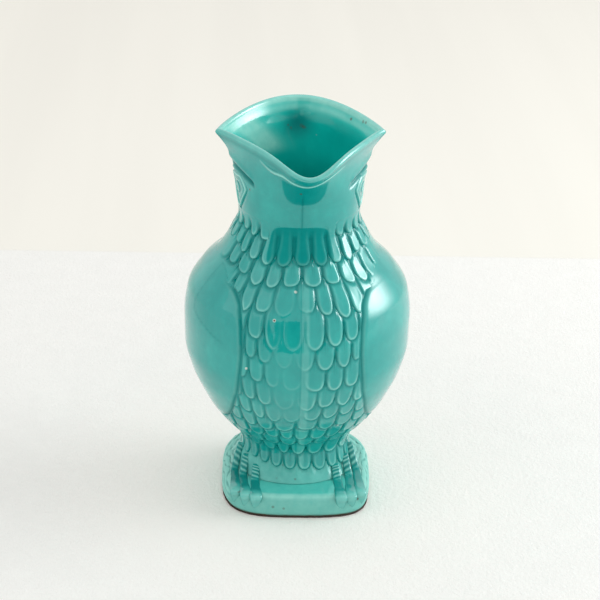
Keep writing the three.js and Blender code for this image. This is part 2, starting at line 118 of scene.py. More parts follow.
# Rows of feathers from the neck down: share of the height at the tips, then in degrees the usual
# step from tip to tip and how far round the row goes
FEATHER_ROWS = (
    (0.741, 13.2, 104), (0.689, 13.2, 104), (0.642, 12.3, 104), (0.580, 9.6, 54),
    (0.505, 8.6, 44), (0.433, 10.4, 38), (0.381, 8.8, 37), (0.319, 9.8, 40),
    (0.262, 10.5, 46), (0.215, 11.5, 56), (0.171, 12.5, 82), (0.127, 13.5, 104),
    (0.080, 15.0, 104), (0.031, 14.0, 104),
)

# The tips in front, row by row: degrees from straight ahead and share of the height. The cast is
# hand carved, so no two are alike.
FEATHER_TIPS = (
    ((-60.2, 0.755), (-49, 0.748), (-36.2, 0.747), (25.2, 0.756), (38.8, 0.756), (51.5, 0.751)),
    ((-64, 0.715), (-54.2, 0.701), (-41.8, 0.695), (-28.5, 0.69), (-14.8, 0.692), (1.2, 0.696),
     (15.8, 0.694), (29.8, 0.696), (41.5, 0.693), (53.5, 0.704)),
    ((-59.8, 0.668), (-46.5, 0.66), (-31.8, 0.642), (-20, 0.643), (-8, 0.649), (8.2, 0.649),
     (22.2, 0.651), (35, 0.645), (45.5, 0.64), (57, 0.638)),
    ((-42.2, 0.622), (-32.3, 0.581), (-22.6, 0.587), (-10, 0.58), (3.6, 0.593), (12.8, 0.585),
     (23.6, 0.572), (33.7, 0.575)),
    ((-33, 0.525), (-24.5, 0.52), (-14.5, 0.496), (-4.5, 0.497), (6.5, 0.496), (17.3, 0.503),
     (26, 0.512)),
    ((-32.5, 0.468), (-25.8, 0.464), (-18.9, 0.456), (-9, 0.443), (1.5, 0.437), (11.6, 0.436),
     (21.9, 0.438), (28.8, 0.454)),
    ((-31, 0.4), (-22.6, 0.395), (-14.5, 0.384), (-5.5, 0.376), (7.3, 0.372), (16.9, 0.369),
     (26.2, 0.374)),
    ((-34.5, 0.335), (-27, 0.329), (-19.5, 0.317), (-9, 0.306), (4, 0.301), (12.9, 0.311),
     (23.8, 0.307), (32.5, 0.315)),
    ((-38.5, 0.28), (-30.8, 0.275), (-24, 0.258), (-15.2, 0.249), (-4.8, 0.252), (7.5, 0.259),
     (16.8, 0.262), (27.2, 0.266), (36.8, 0.265)),
    ((-49.5, 0.232), (-40.5, 0.229), (-32, 0.216), (-22, 0.207), (-9.5, 0.207), (5.2, 0.217),
     (17.2, 0.212), (28.5, 0.219), (40, 0.222)),
    ((-53, 0.178), (-41.5, 0.175), (-30, 0.172), (-18.2, 0.17), (-8, 0.165), (1.5, 0.162),
     (13.8, 0.163), (26, 0.162), (36.8, 0.176)),
    ((-48, 0.13), (-34.5, 0.129), (-21.5, 0.126), (-8, 0.124), (6.5, 0.122), (20, 0.125),
     (33.5, 0.128)),
    ((-43.5, 0.1), (-26.8, 0.093), (-14, 0.083), (1, 0.08), (18, 0.078), (38, 0.073),
     (60, 0.07)),
    ((-50, 0.05), (-36, 0.044), (-22, 0.038), (-7, 0.033), (8, 0.031), (25, 0.026), (42, 0.024)),
)

# For each row: how deep its grooves are beside the deepest, and how much a feather narrows upwards
FEATHER_RELIEF_SHARES = (
    (0.95, 0.2), (1, 0.16), (0.9, 0.14), (0.74, 0.08), (0.68, 0.05), (0.6, 0.05), (0.54, 0.04),
    (0.5, 0.04), (0.54, 0.04), (0.62, 0.04), (0.8, 0.04), (0.86, 0.04), (0.62, 0.08), (0.5, 0.08),
)

# The feathers' grids: degrees from column to column, in short rows and in those that go far round,
# length from row to row, and rows of the plain back
FEATHER_STEP = 0.42
WIDE_FEATHER_STEP = 0.5
FEATHER_GRID = 0.42 * MM
FEATHER_BACK_ROWS = 7

# Rows that end under the wing's upper edge: degrees beyond which the whole row lies under it
ROWS_UNDER_WING = {2: 51, 3: 43}
FIRST_ROW_BELOW_WING = 9
UNDER_WING = 2.5 * MM

# The smooth bib: degrees to its side, level of its lower edge. Then the neck's lowest smooth level,
# the level of the lowest feathers and degrees to the end of the feathered field.
BIB_ANGLE = 34
BIB_SHARE = 0.797
NECK_TOP_SHARE = 0.803
FIELD_FOOT_SHARE = 0.018
FIELD_SIDE_ANGLE = 104

# The brow groove over each eye: degrees from straight ahead against share of the height
BROW_SHARES = ((43, 0.892), (48, 0.899), (56, 0.907), (69, 0.915), (84, 0.919), (97, 0.91))

# Levels and degrees of the eye and its pupil, then of the line under the lip: its level, how far
# its ends climb and how far round it goes
EYE_SHARE = 0.858
PUPIL_SHARE = 0.862
EYE_ANGLE = 74
RIDGE_SHARE = 0.959
RIDGE_LIFT_SHARE = 0.018
RIDGE_HALF_ANGLE = 38

# The eye's outline: the direction each of its three sides faces in degrees, and how far it lies
EYE_SIDES = ((95, 0.86), (-38, 0.74), (212, 0.80))
EYE_SQUARENESS = 4.5
EYE_CORNER_SHARE = 1.18

# Painted shade: dark patches painted on the upper breast and under the lip, which face away from
# the light and mirror dark surroundings. Each gives its middle in degrees and as a share of the
# height, half width, half height, squareness and softness of the edge
BREAST_SHADE_PATCH = (-1, 0.74, 29, 0.057, 4, 0.06)
CHIN_SHADE_PATCH = (1.5, 0.95, 19, 0.088, 3, 0.07)

# A thin line in the glaze down the wing on the owl's right: levels and degrees from straight ahead
WING_LINE = ((0.46, 0.487, 0.509, 0.518, 0.531, 0.548, 0.579, 0.619, 0.655, 0.664, 0.67),
             (34, 44, 56.5, 61.8, 67.5, 69, 67.5, 66.5, 66.5, 64, 59.8))

# Pinholes and iron specks: place in millimetres, reach of the pale ring round them, reach of the
# brown middle and how strong it is
GLAZE_SPOTS = (
    (-3.1, -47.3, 137.2, 1.2, 0.7, 0.9), (-14.1, -53.8, 124.1, 1.15, 0.75, 1),
    (-26.5, -21.3, 182.5, 0, 0.8, 0.7), (-1.1, -39.2, 187.2, 0, 0.9, 0.6),
    (-0.6, -26.8, 14.8, 0, 1.3, 0.7), (-7.3, -24.6, 22.5, 0, 1.2, 0.45),
    (-10.4, -25.2, 14.6, 0, 1.6, 0.35), (-28.1, -52.9, 96.2, 1, 0.1, 0.1),
    (-13, -42.6, 6.9, 0, 1.1, 0.45), (-7.2, -43, 6.1, 0, 1, 0.4),
    (28.8, -39.8, 6.9, 0, 1.3, 0.75), (32.6, -37.4, 8.9, 0, 1.4, 0.8),
    (26.8, -40.9, 11.5, 0, 1.2, 0.55), (-31.3, -37, 13.1, 0, 1.3, 0.7),
    (20.9, -41, 6.1, 0, 1.3, 0.3), (-14.8, -40.2, 13.9, 0, 1.4, 0.45),
    (-3.8, 35, 195.6, 0, 1.15, 0.35), (-3.2, 35, 194.6, 0, 0.95, 0.3),
    (-5.3, 35, 197.2, 0, 1, 0.4), (1.9, 35, 196.8, 0, 1.3, 0.3),
    (3.1, 35, 196, 0, 1.25, 0.45), (4.3, 35, 195.7, 0, 1.05, 0.3),
    (27.6, 22, 205.1, 0, 1.1, 0.7), (33.4, 15, 206.2, 0, 1.2, 0.5),
    (35, 13.4, 206.2, 0, 1.3, 0.6), (36.6, 11.9, 206, 0, 1.2, 0.5),
)

# Small specks strewn over the glaze: cells per metre, and the chance above which a cell has one
SPECK_CELLS = 95.0
SPECK_CHANCE = (0.96, 0.965)

# Half width and height of a toe from the leg to the talon, beside its full ones
TOE_WIDTH_SHARES = ((0, 0.8), (0.06, 0.98), (0.25, 1.05), (0.36, 1.2), (0.5, 1.4), (0.66, 1.6),
                    (0.76, 1.55), (0.86, 1.3), (0.94, 0.95), (1, 0.35))
TOE_DEPTH_SHARES = ((0, 0.05), (0.05, 0.3), (0.22, 0.36), (0.33, 0.2), (0.46, 0.22), (0.64, 0.5),
                    (0.74, 0.55), (0.86, 0.42), (0.95, 0.26), (1, 0.05))

# The plinth in plan: squareness in front, behind and more at its front corner to the owl's left,
# how far it is turned and how far it is moved that way
PLINTH_POWER = 3.4
PLINTH_BACK_POWER = 2.9
PLINTH_CORNER_POWER = 0.8
PLINTH_TURN = math.radians(2)
PLINTH_SHIFT = 0.8 * MM

# The plinth's side from its foot to its ledge: share of its height, and how far it lies in beside
# the ledge's inset
PLINTH_INSETS = ((0, 0.5), (0.08, 0.15), (0.2, 0.02), (0.45, 0), (0.62, 0.05), (0.78, 0.22),
                 (0.9, 0.55), (0.97, 0.84), (1, 1.1))

# The middle talon's place beside the plinth's half width, on the owl's left and right
TALON_SHARES = {1: 0.715, -1: 0.675}

# The hollow inside the mouth where the handle joins, and the handle: levels of its roots, how deep
# they sink into the wall, and its path as shares of its reach and of the way down
HOLLOW_SHARE = 0.945
HANDLE_TOP_SHARE = 0.893
HANDLE_FOOT_SHARE = 0.565
HANDLE_ROOT = 1.2 * MM
HANDLE_PATH_SHARES = ((0, 0), (0.42, 0), (0.85, 0.12), (1, 0.4), (0.8, 0.72), (0.35, 0.93), (0, 1))
TAIL_TOP_SHARE = 0.34
TAIL_FOOT_SHARE = 0.03
TAIL_FEATHERS = 5

# The stage: reach of the floor, the dark card's left, right, near, far and top edges, the window's
# place, near, far, low and high edges, and its brightest point
STAGE_REACH = 6.0
DARK_CARD = (-0.6, 0.08, -0.55, -1.3, 0.7)
WINDOW_CARD = (1.32, -0.9, 1.05, 0.02, 1.6)
WINDOW_MIDDLE = (1.32, -0.02, 0.74)
PITCHER_MIDDLE = (0, 0, 0.11)

# The camera: turn, tilt and roll in degrees, the point it faces in millimetres, its distance in
# metres, and its lens and sensor in millimetres
CAMERA_ANGLES = (-2.8, 25.2, 1.18)
CAMERA_TARGET = (1.4, 0, 110.3)
CAMERA_DISTANCE = 1.0
FOCAL_LENGTH = 111.8
SENSOR_WIDTH = 36


def length(name, millimetres, description):
    """A length property, given in millimetres and kept in metres."""
    return FloatProperty(name=name, description=description, default=millimetres * MM,
                         min=0, unit="LENGTH", precision=5)


def amount(name, default, description):
    """A plain number."""
    return FloatProperty(name=name, description=description, default=default)


def colour(name, default, description):
    """A linear colour."""
    return FloatVectorProperty(name=name, description=description, default=default,
                               subtype="COLOR", size=3, min=0, max=1)


class VesselShape(PropertyGroup):
    """Sizes of the hollow vessel."""

    vessel_height: length("Vessel height", 192.7, "From the plinth to the ears of the rim")
    lip_drop: length("Lip drop", 9.3, "How far the lip lies below the ears")
    back_rise: length("Back rise", 4.9, "How far the back of the rim stands above the ears")
    waist_width: length("Waist width", 60, "Across the narrow leg")
    belly_width: length("Belly width", 121.4, "Across the folded wings")
    neck_width: length("Neck width", 64, "Across the neck")
    mouth_width: length("Mouth width", 88, "From ear to ear")
    waist_front: length("Waist front", 25, "Axis to the front of the leg")
    belly_front: length("Belly front", 60, "Axis to the front of the breast")
    neck_front: length("Neck front", 34, "Axis to the front of the neck")
    lip_reach: length("Lip reach", 46.5, "Axis to the tip of the lip")
    waist_back: length("Waist back", 33, "Axis to the back of the leg")
    belly_back: length("Belly back", 58.5, "Axis to the back of the belly")
    neck_back: length("Neck back", 34.5, "Axis to the back of the neck")
    rim_back: length("Rim back", 42, "Axis to the back of the rim")
    wall_thickness: length("Wall thickness", 3.6, "Clay behind the relief")
    rim_thickness: length("Rim thickness", 3.4, "Clay at the rim")
    floor_thickness: length("Floor thickness", 6, "Clay over the plinth")


class ReliefShape(PropertyGroup):
    """Sizes of the relief on the vessel."""

    covered_depth: length("Covered depth", 3, "How deep the wall lies under feathers and wings")
    back_depth: length("Back depth", 0.8, "How deep the smooth back lies under the highest relief")
    groove_depth: length("Groove depth", 1.25, "How deep the grooves between feathers are")
    feather_point: amount("Feather point", 0.6, "How far up its row the notch beside a tip reaches")
    feather_shoulder: length("Feather shoulder", 2.3, "How wide a feather rounds to its groove")
    wing_shoulder: length("Wing shoulder", 4.2, "How wide the wing rounds to its groove")
    tuck: length("Tuck", 0.7, "How far a row reaches under the tips above it")
    seam_step: length("Seam step", 0.09, "How far the right half of the mould stands proud")
    brow_depth: length("Brow depth", 1.7, "How deep the groove over the eye is")
    eye_height: length("Eye height", 19, "Up the head")
    pupil_width: length("Pupil width", 6.6, "Across the pupil")
    ridge_height: length("Ridge height", 3.2, "How wide the line under the lip is")
    ridge_thickness: length("Ridge thickness", 0.9, "How proud the line under the lip stands")


class FootShape(PropertyGroup):
    """Sizes of the plinth, the toes, the tail and the handle."""

    plinth_width: length("Plinth width", 82, "Across the plinth")
    plinth_depth: length("Plinth depth", 82.6, "From front to back of the plinth")
    plinth_front: length("Plinth front", 1.8, "How far the front bows out beyond that")
    ledge_inset: length("Ledge inset", 3.6, "How far the ledge's side lies inside the plinth")
    bark_depth: length("Bark depth", 0.42, "Depth of the grain round the plinth")
    toe_width: length("Toe width", 4.2, "Across one toe")
    toe_thickness: length("Toe thickness", 3.6, "How proud a toe stands")
    talon_length: length("Talon length", 8.5, "How far a talon reaches down the plinth")
    toe_rise: length("Toe rise", 12, "How far a toe reaches up the leg")
    handle_width: length("Handle width", 15, "Across the handle")
    handle_thickness: length("Handle thickness", 9, "Through the handle")
    handle_growth: length("Handle growth", 4, "How much the handle swells at its roots")
    handle_reach: length("Handle reach", 36, "How far the handle stands out")
    handle_rise: length("Handle rise", 3, "How far the handle climbs from its upper root")
    tail_top_width: length("Tail top width", 15, "Across the tail where it starts")
    tail_foot_width: length("Tail foot width", 30, "Across the tail at the plinth")
    tail_top_thickness: length("Tail top thickness", 1.2, "How proud the tail starts")
    tail_foot_thickness: length("Tail foot thickness", 5.4, "How proud the tail ends")


class GlazeLook(PropertyGroup):
    """Colours and gloss of the glaze, the clay and the stage."""

    body: colour("Body", (0.0, 0.33, 0.305), "Glaze of even thickness")
    # Dark glaze where it pools, and the colour of painted shade on the breast, under the lip and
    # inside
    pooled_and_shaded: colour("Pooled", (0.0, 0.18, 0.172), "Glaze pooled in a groove")
    # Pale glaze where it thins over an edge, and the colour of the painted highlights and light
    thinned_and_lit: colour("Thinned", (0.32, 0.78, 0.69), "Glaze thinned over an edge")
    milky: colour("Milky", (0.01, 0.43, 0.386), "Where the glaze is a little thinner")
    # Painted light: paler glaze painted inside the mouth, most near the rim, and on the plinth's
    # ledge
    bright: colour("Bright", (0.0, 0.56, 0.49), "Inside the mouth and on the ledge")
    speck: colour("Speck", (0.085, 0.05, 0.02), "Iron specks in the glaze")
    pinhole: colour("Pinhole", (0.72, 0.78, 0.70), "Bare rim of a pinhole")
    clay: colour("Clay", (0.035, 0.02, 0.013), "Bare clay of the foot")
    floor: colour("Floor", (0.94, 0.93, 0.905), "Plaster under the pitcher")
    backdrop: colour("Backdrop", (0.912, 0.888, 0.824), "Cloth behind the pitcher")
    gloss: amount("Gloss roughness", 0.07, "Roughness of the glaze")


def mix(start, end, share):
    """A value that runs from start to end as share runs from 0 to 1."""
    return start + (end - start) * share


def ease(share):
    """0 to 1 with a level start and end."""
    share = np.clip(share, 0, 1)
    return share * share * (3 - 2 * share)


def shoulder(distance, width):
    """0 at an edge, rounding up to 1 at the given width inside it."""
    return 1 - (1 - np.clip(distance / width, 0, 1)) ** 2.2


def hump(offset, width):
    """A bell curve of height 1 about an offset of zero."""
    return np.exp(-((offset / width) ** 2))


def full_turn(columns):
    """Angles round a closed ring, in radians."""
    return np.arange(columns) * 2 * math.pi / columns


def drawn(wave, power):
    """A sine or cosine whose size is raised to a power and whose sign is kept."""
    return np.sign(wave) * np.abs(wave) ** power


def softer_min(first, second, softness):
    """The smaller of two distances, rounded where they are alike."""
    share = np.clip(0.5 + (second - first) / softness / 2, 0, 1)
    return mix(second, first, share) - softness * share * (1 - share)


def smooth_curve(points):
    """A cubic through points of (place, value) that never swings past them: each point's slope is
    the harmonic mean of the slopes beside it, and level where they change sign."""
    place, value = np.array(points, float).T
    slope = np.diff(value) / np.diff(place)
    product = slope[:-1] * slope[1:]
    total = np.where(product > 0, slope[:-1] + slope[1:], 1)
    tangent = np.concatenate([slope[:1], np.where(product > 0, 2 * product / total, 0), slope[-1:]])

    def evaluate(where):
        where = np.asarray(where, float)
        i = np.clip(np.searchsorted(place, where) - 1, 0, len(place) - 2)
        span = place[i + 1] - place[i]
        t = np.clip((where - place[i]) / span, 0, 1)
        start, end = value[i], value[i + 1]
        rise, run = tangent[i] * span, tangent[i + 1] * span
        return start + t * (rise + t * (3 * (end - start) - 2 * rise - run
                                        + t * (2 * (start - end) + rise + run)))

    return evaluate


class Vessel:
    """The outside of the vessel. Angles are degrees from straight ahead, positive to the owl's
    left, and levels are shares of the height."""

    def __init__(self, shape, relief):
        self.shape = shape
        self.relief = relief
        self.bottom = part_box("vessel_wall")[0].z
        self.side = self.reach(1, shape.waist_width / 2, shape.belly_width / 2,
                               shape.neck_width / 2, shape.mouth_width / 2)
        self.front = self.reach(2, shape.waist_front, shape.belly_front,
                                shape.neck_front, shape.lip_reach)
        self.back = self.reach(3, shape.waist_back, shape.belly_back,
                               shape.neck_back, shape.rim_back)
        self.wing_edge = smooth_curve(WING_EDGE_SHARES)
        levels = np.linspace(WING_EDGE_SHARES[0][0], WING_WIDEST_SHARE, 200)
        self.wing_foot_levels = (self.wing_edge(levels)[::-1], levels[::-1])
        levels = np.linspace(WING_WIDEST_SHARE, WING_EDGE_SHARES[-1][0], 200)
        self.wing_top_levels = (self.wing_edge(levels), levels)

    def reach(self, column, waist, belly, neck, mouth):
        """How far the vessel reaches from its axis in one direction at each level: a smooth curve
        through sizes that swell from a narrow one to the next wide one."""
        rows = [(row[0], mix(waist, belly, row[column])) for row in WAIST_TO_BELLY_SHARES]
        rows += [(row[0], mix(neck, belly, row[column])) for row in NECK_TO_BELLY_SHARES]
        rows += [(row[0], mix(neck, mouth, row[column])) for row in NECK_TO_MOUTH_SHARES]
        return smooth_curve(rows)

    def point(self, angle, level, depth=0.0):
        """The ellipse of the level, front and back apart, pinched at the mouth. The rim drops at
        the lip and rises behind, and the owl's right side of the lip sags a little."""
        sine, cosine = np.sin(np.radians(angle)), np.cos(np.radians(angle))
        ahead = cosine > 0
        flare = np.clip((level - FLARE_START_SHARE) / (1 - FLARE_START_SHARE), 0, 1)
        pinch = 1 + np.where(ahead, LIP_PINCH, BACK_PINCH) * flare ** PINCH_GROWTH
        reach = np.where(ahead, self.front(level), self.back(level)) - depth
        leaning = np.cos(np.radians(angle - LIP_LEAN * flare * np.clip(cosine, 0, 1)))
        lip = -self.shape.lip_drop * np.clip(leaning, 0, 1) ** LIP_SHARPNESS
        behind = self.shape.back_rise * np.clip(-cosine, 0, 1) ** BACK_SHARPNESS
        uneven = MM * (-1.5 * hump(angle + 24, 5.5) + 1.5 * hump(angle + 40, 6)
                       + 0.8 * hump(angle + 15, 4))
        rise = np.where(ahead, lip + uneven, behind)
        x = (self.side(level) - depth) * sine
        y = np.where(ahead, -reach * np.abs(leaning) ** pinch, reach * np.abs(cosine) ** pinch)
        z = self.bottom + level * self.shape.vessel_height + rise * flare ** RISE_GROWTH
        return np.stack(np.broadcast_arrays(x, y, z), -1)

    def pace(self, angle, level):
        """Metres along the surface per degree round it and per unit of level up it."""
        half_degree, half_level = 0.5, 0.002
        round_step = self.point(angle + half_degree, level) - self.point(angle - half_degree, level)
        up_step = self.point(angle, level + half_level) - self.point(angle, level - half_level)
        return (np.linalg.norm(round_step, axis=-1) / (2 * half_degree),
                np.linalg.norm(up_step, axis=-1) / (2 * half_level))

    def resting_depth(self, angle, level):
        """The smooth vessel's depth: none in front and on the head, a little on the back."""
        behind = ease((np.abs(turned(angle)) - 94) / 14)
        below_head = ease((NECK_TOP_SHARE + 0.02 - level) / 0.04)
        above_foot = ease((level - FIELD_FOOT_SHARE) / 0.02)
        return self.relief.back_depth * behind * below_head * above_foot

    def hand(self, angle, level):
        """Slow unevenness of a hand-finished cast, as a depth: waves round it times waves up it."""
        a = np.radians(angle)
        waves = (np.sin(3 * a + 1.3) * np.sin(9 * level + 0.4)
                 + 0.7 * np.sin(5 * a - 0.6) * np.sin(17 * level + 2.0)
                 + 0.4 * np.sin(9 * a + 2.2) * np.sin(31 * level + 1.1))
        return 0.1 * MM * waves * ease((1 - level) / 0.12)

    def seam(self, angle, pace_round):
        """The mould's seam down the front: a step and a fine furrow, as a depth."""
        across = turned(angle) * pace_round
        step = -self.relief.seam_step * (0.5 + 0.5 * np.tanh(across / (0.5 * MM)))
        return (step + 0.1 * MM * hump(across, 0.55 * MM)) * hump(angle, 60)

    def wing_distance(self, angle, level):
        """Metres inside the wing's outline, and negative outside it: the least of the distances
        to its front edge, to the same edge mirrored behind, to a straight fold, and to its top
        and foot."""
        round_pace, up_pace = self.pace(angle, level)
        front = self.wing_edge(level)
        slope = (self.wing_edge(level + 0.003) - self.wing_edge(level - 0.003)) / 0.006
        lean = np.sqrt(1 + (slope * round_pace / up_pace) ** 2)
        away = np.abs(turned(angle))
        ahead = (away - front) * round_pace / lean
        tip = (180 - front - away) * round_pace / lean
        fold = (WING_BACK_ANGLE - away) * round_pace
        behind = softer_min(tip, fold, 2 * MM)
        top = (WING_EDGE_SHARES[-1][0] - level) * up_pace
        foot = (level - WING_EDGE_SHARES[0][0]) * up_pace
        return np.minimum(np.minimum(ahead, behind), np.minimum(top, foot) + 0.6 * MM)

    def wing_top(self, angle):
        """The level of the wing's upper edge at an angle."""
        return np.interp(np.abs(angle), *self.wing_top_levels)

    def wing_foot(self, angle):
        """The level of the wing's lower edge at an angle."""
        return np.interp(np.abs(angle), *self.wing_foot_levels)


def turned(angle):
    """An angle brought to the range from -180 to 180 degrees."""
    return (np.asarray(angle, float) + 180) % 360 - 180


class FeatherRow:
    """One row of feathers: tips at chosen places, with notches between them."""

    def __init__(self, vessel, number):
        self.vessel = vessel
        self.height = vessel.shape.vessel_height
        self.number = number
        self.tip_share, pitch, self.reach = FEATHER_ROWS[number]
        self.groove_share, self.slimness = FEATHER_RELIEF_SHARES[number]
        self.top_share = FEATHER_ROWS[number - 1][0] if number else NECK_TOP_SHARE
        angles, levels = np.array(FEATHER_TIPS[number]).T
        more = np.arange(1, 12) * pitch
        uneven = np.random.default_rng(number + 5).uniform(-0.06, 0.06, len(more)) * pitch
        before, after = angles[0] - (more + uneven)[::-1], angles[-1] + more + uneven
        self.centres = np.concatenate([before, angles, after])
        self.levels = np.concatenate([0 * before + levels[0], levels, 0 * after + levels[-1]])
        self.middles = (self.centres[1:] + self.centres[:-1]) / 2

    def across(self, angle):
        """Place across the nearest feather, -1 to 1, and its half width in degrees."""
        i = np.searchsorted(self.middles, angle)
        inner = np.clip(i, 1, len(self.centres) - 2)
        offset = angle - self.centres[inner]
        half = np.where(offset > 0, self.middles[np.clip(inner, 0, len(self.middles) - 1)]
                        - self.centres[inner], self.centres[inner] - self.middles[inner - 1])
        return np.clip(offset / half, -1, 1), half

    def tip_level(self, angle):
        """The row's lower edge: nearly half round below each feather, up to the notches."""
        place, half = self.across(angle)
        round_pace, up_pace = self.vessel.pace(angle, self.tip_share)
        tall = (self.top_share - self.tip_share) * self.height
        point = np.minimum(1.6 * half * round_pace, self.vessel.relief.feather_point * tall)
        base = np.interp(angle, self.centres, self.levels)
        return base + point / up_pace * (1 - (1 - np.abs(place) ** 2.1) ** 0.58)

    def upper_level(self, angle):
        """Where the row comes out from under what lies above it."""
        if self.number == 0:
            return np.full_like(angle, NECK_TOP_SHARE)
        above = FeatherRow(self.vessel, self.number - 1).tip_level(angle)
        if self.number == 1:
            bib = ease((BIB_ANGLE + 3 - np.abs(angle)) / 5)
            above = mix(above, BIB_SHARE, bib)
        if self.number >= FIRST_ROW_BELOW_WING:
            above = np.minimum(above, self.vessel.wing_foot(angle) + UNDER_WING / self.height)
        return above

    def lower_level(self, angle):
        """The row's lower edge, stopped under the wing's upper edge and carried down to it."""
        level = self.tip_level(angle)
        if self.number > max(ROWS_UNDER_WING):
            return level
        under_wing = self.vessel.wing_top(angle) - UNDER_WING / self.height
        beyond = np.abs(angle) > ROWS_UNDER_WING.get(self.number, 180)
        return np.where(beyond, under_wing, np.maximum(level, under_wing))


def grid_faces(rows, columns, first=0, closed=False):
    """Quads of a grid of points that is stored row by row."""
    across = columns if closed else columns - 1
    i, j = np.meshgrid(np.arange(rows - 1), np.arange(across), indexing="ij")
    a = first + i * columns + j
    b = first + i * columns + (j + 1) % columns
    return np.stack([a, b, b + columns, a + columns], -1).reshape(-1, 4)


def volume_of(points, quads, caps):
    """Six times the signed volume of a closed mesh, positive when its faces point out."""
    triangles = np.concatenate([quads[:, [0, 1, 2]], quads[:, [0, 2, 3]]])
    corner = points[triangles]
    total = np.einsum("ij,ij->", corner[:, 0], np.cross(corner[:, 1], corner[:, 2]))
    for cap in caps:
        ring = points[cap]
        fan = np.cross(ring[1:-1], ring[2:])
        total += (fan @ ring[0]).sum()
    return total


def add_piece(node, points, quads, caps, marks, material, finish="glazed", sharp=55):
    """The piece that stands for a node of the solids, in quads and closing faces, turned outwards,
    with its glaze marks. Edges sharper than so many degrees stay sharp."""
    points = np.asarray(points, float)
    caps = [list(cap) for cap in caps]
    if volume_of(points - points.mean(0), quads, caps) < 0:
        quads = quads[:, ::-1]
        caps = [cap[::-1] for cap in caps]
    name = f"{node}_{finish}"
    mesh = bpy.data.meshes.new(name)
    mesh.from_pydata(points.tolist(), [], quads.tolist() + caps)
    mesh.shade_smooth()
    mesh.set_sharp_from_angle(angle=math.radians(sharp))
    for mark, values in marks.items():
        layer = mesh.attributes.new(mark, "FLOAT", "POINT")
        layer.data.foreach_set("value", np.asarray(values, np.float32).ravel())
    mesh.materials.append(material)
    mesh.update()
    piece = bpy.data.objects.new(name, mesh)
    bpy.context.scene.collection.objects.link(piece)
    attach(piece, BODY)
    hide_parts(node)
    return piece


def add_plate(node, outer, under, marks, material):
    """A skin with a finely cut face and a plain back: outer is a grid of points, and under holds
    the few rows of points that make its back."""
    rows, columns = outer.shape[:2]
    points = np.concatenate([outer.reshape(-1, 3), under.reshape(-1, 3)])
    size, back_rows = rows * columns, len(under)
    quads = [grid_faces(rows, columns), grid_faces(back_rows, columns, size)[:, ::-1]]
    j = np.arange(columns - 1)
    last, back_last = (rows - 1) * columns, size + (back_rows - 1) * columns
    quads.append(np.stack([size + j, size + j + 1, j + 1, j], -1))
    quads.append(np.stack([last + j, last + j + 1, back_last + j + 1, back_last + j], -1))
    i, k = np.arange(rows) * columns, size + np.arange(back_rows) * columns
    caps = [[*i, *k[::-1]], [*(i[::-1] + columns - 1), *(k + columns - 1)]]
    plain = np.zeros(back_rows * columns)
    marks = {mark: np.concatenate([values.ravel(), plain]) for mark, values in marks.items()}
    return add_piece(node, points, np.concatenate(quads), caps, marks, material)


def add_loft(node, rings, marks, material, finish="glazed", sharp=55):
    """A body skinned over closed rings of points, with a flat face at both ends."""
    rows, columns = rings.shape[:2]
    quads = grid_faces(rows, columns, closed=True)
    caps = [np.arange(columns)[::-1], np.arange(columns) + (rows - 1) * columns]
    return add_piece(node, rings.reshape(-1, 3), quads, caps, marks, material, finish, sharp)


def worn(angle, level):
    """How far the middle feathers of the breast have lost their edges under the glaze: a bell
    across the breast, between two levels."""
    low, high = ease((level - 0.23) / 0.05), ease((0.66 - level) / 0.05)
    return 0.86 * hump(np.maximum(np.abs(angle + 6) - 5, 0), 6.5) * low * high


def from_line(gap, slope, round_pace, up_pace):
    """Metres from a line across the surface: the gap in levels, less where the line leans."""
    return gap * up_pace / np.sqrt(1 + (slope * up_pace / round_pace) ** 2)


def painted_shade_patch(angle, level, shade_patch):
    """A dark area of painted shade: 1 inside a superellipse, easing to 0 along its edge."""
    middle, share, half_angle, half_share, power, softness = shade_patch
    across = np.abs(turned(angle - middle)) / half_angle
    up = np.abs(level - share) / half_share
    return ease((1 - (across ** power + up ** power) ** (1 / power)) / softness)


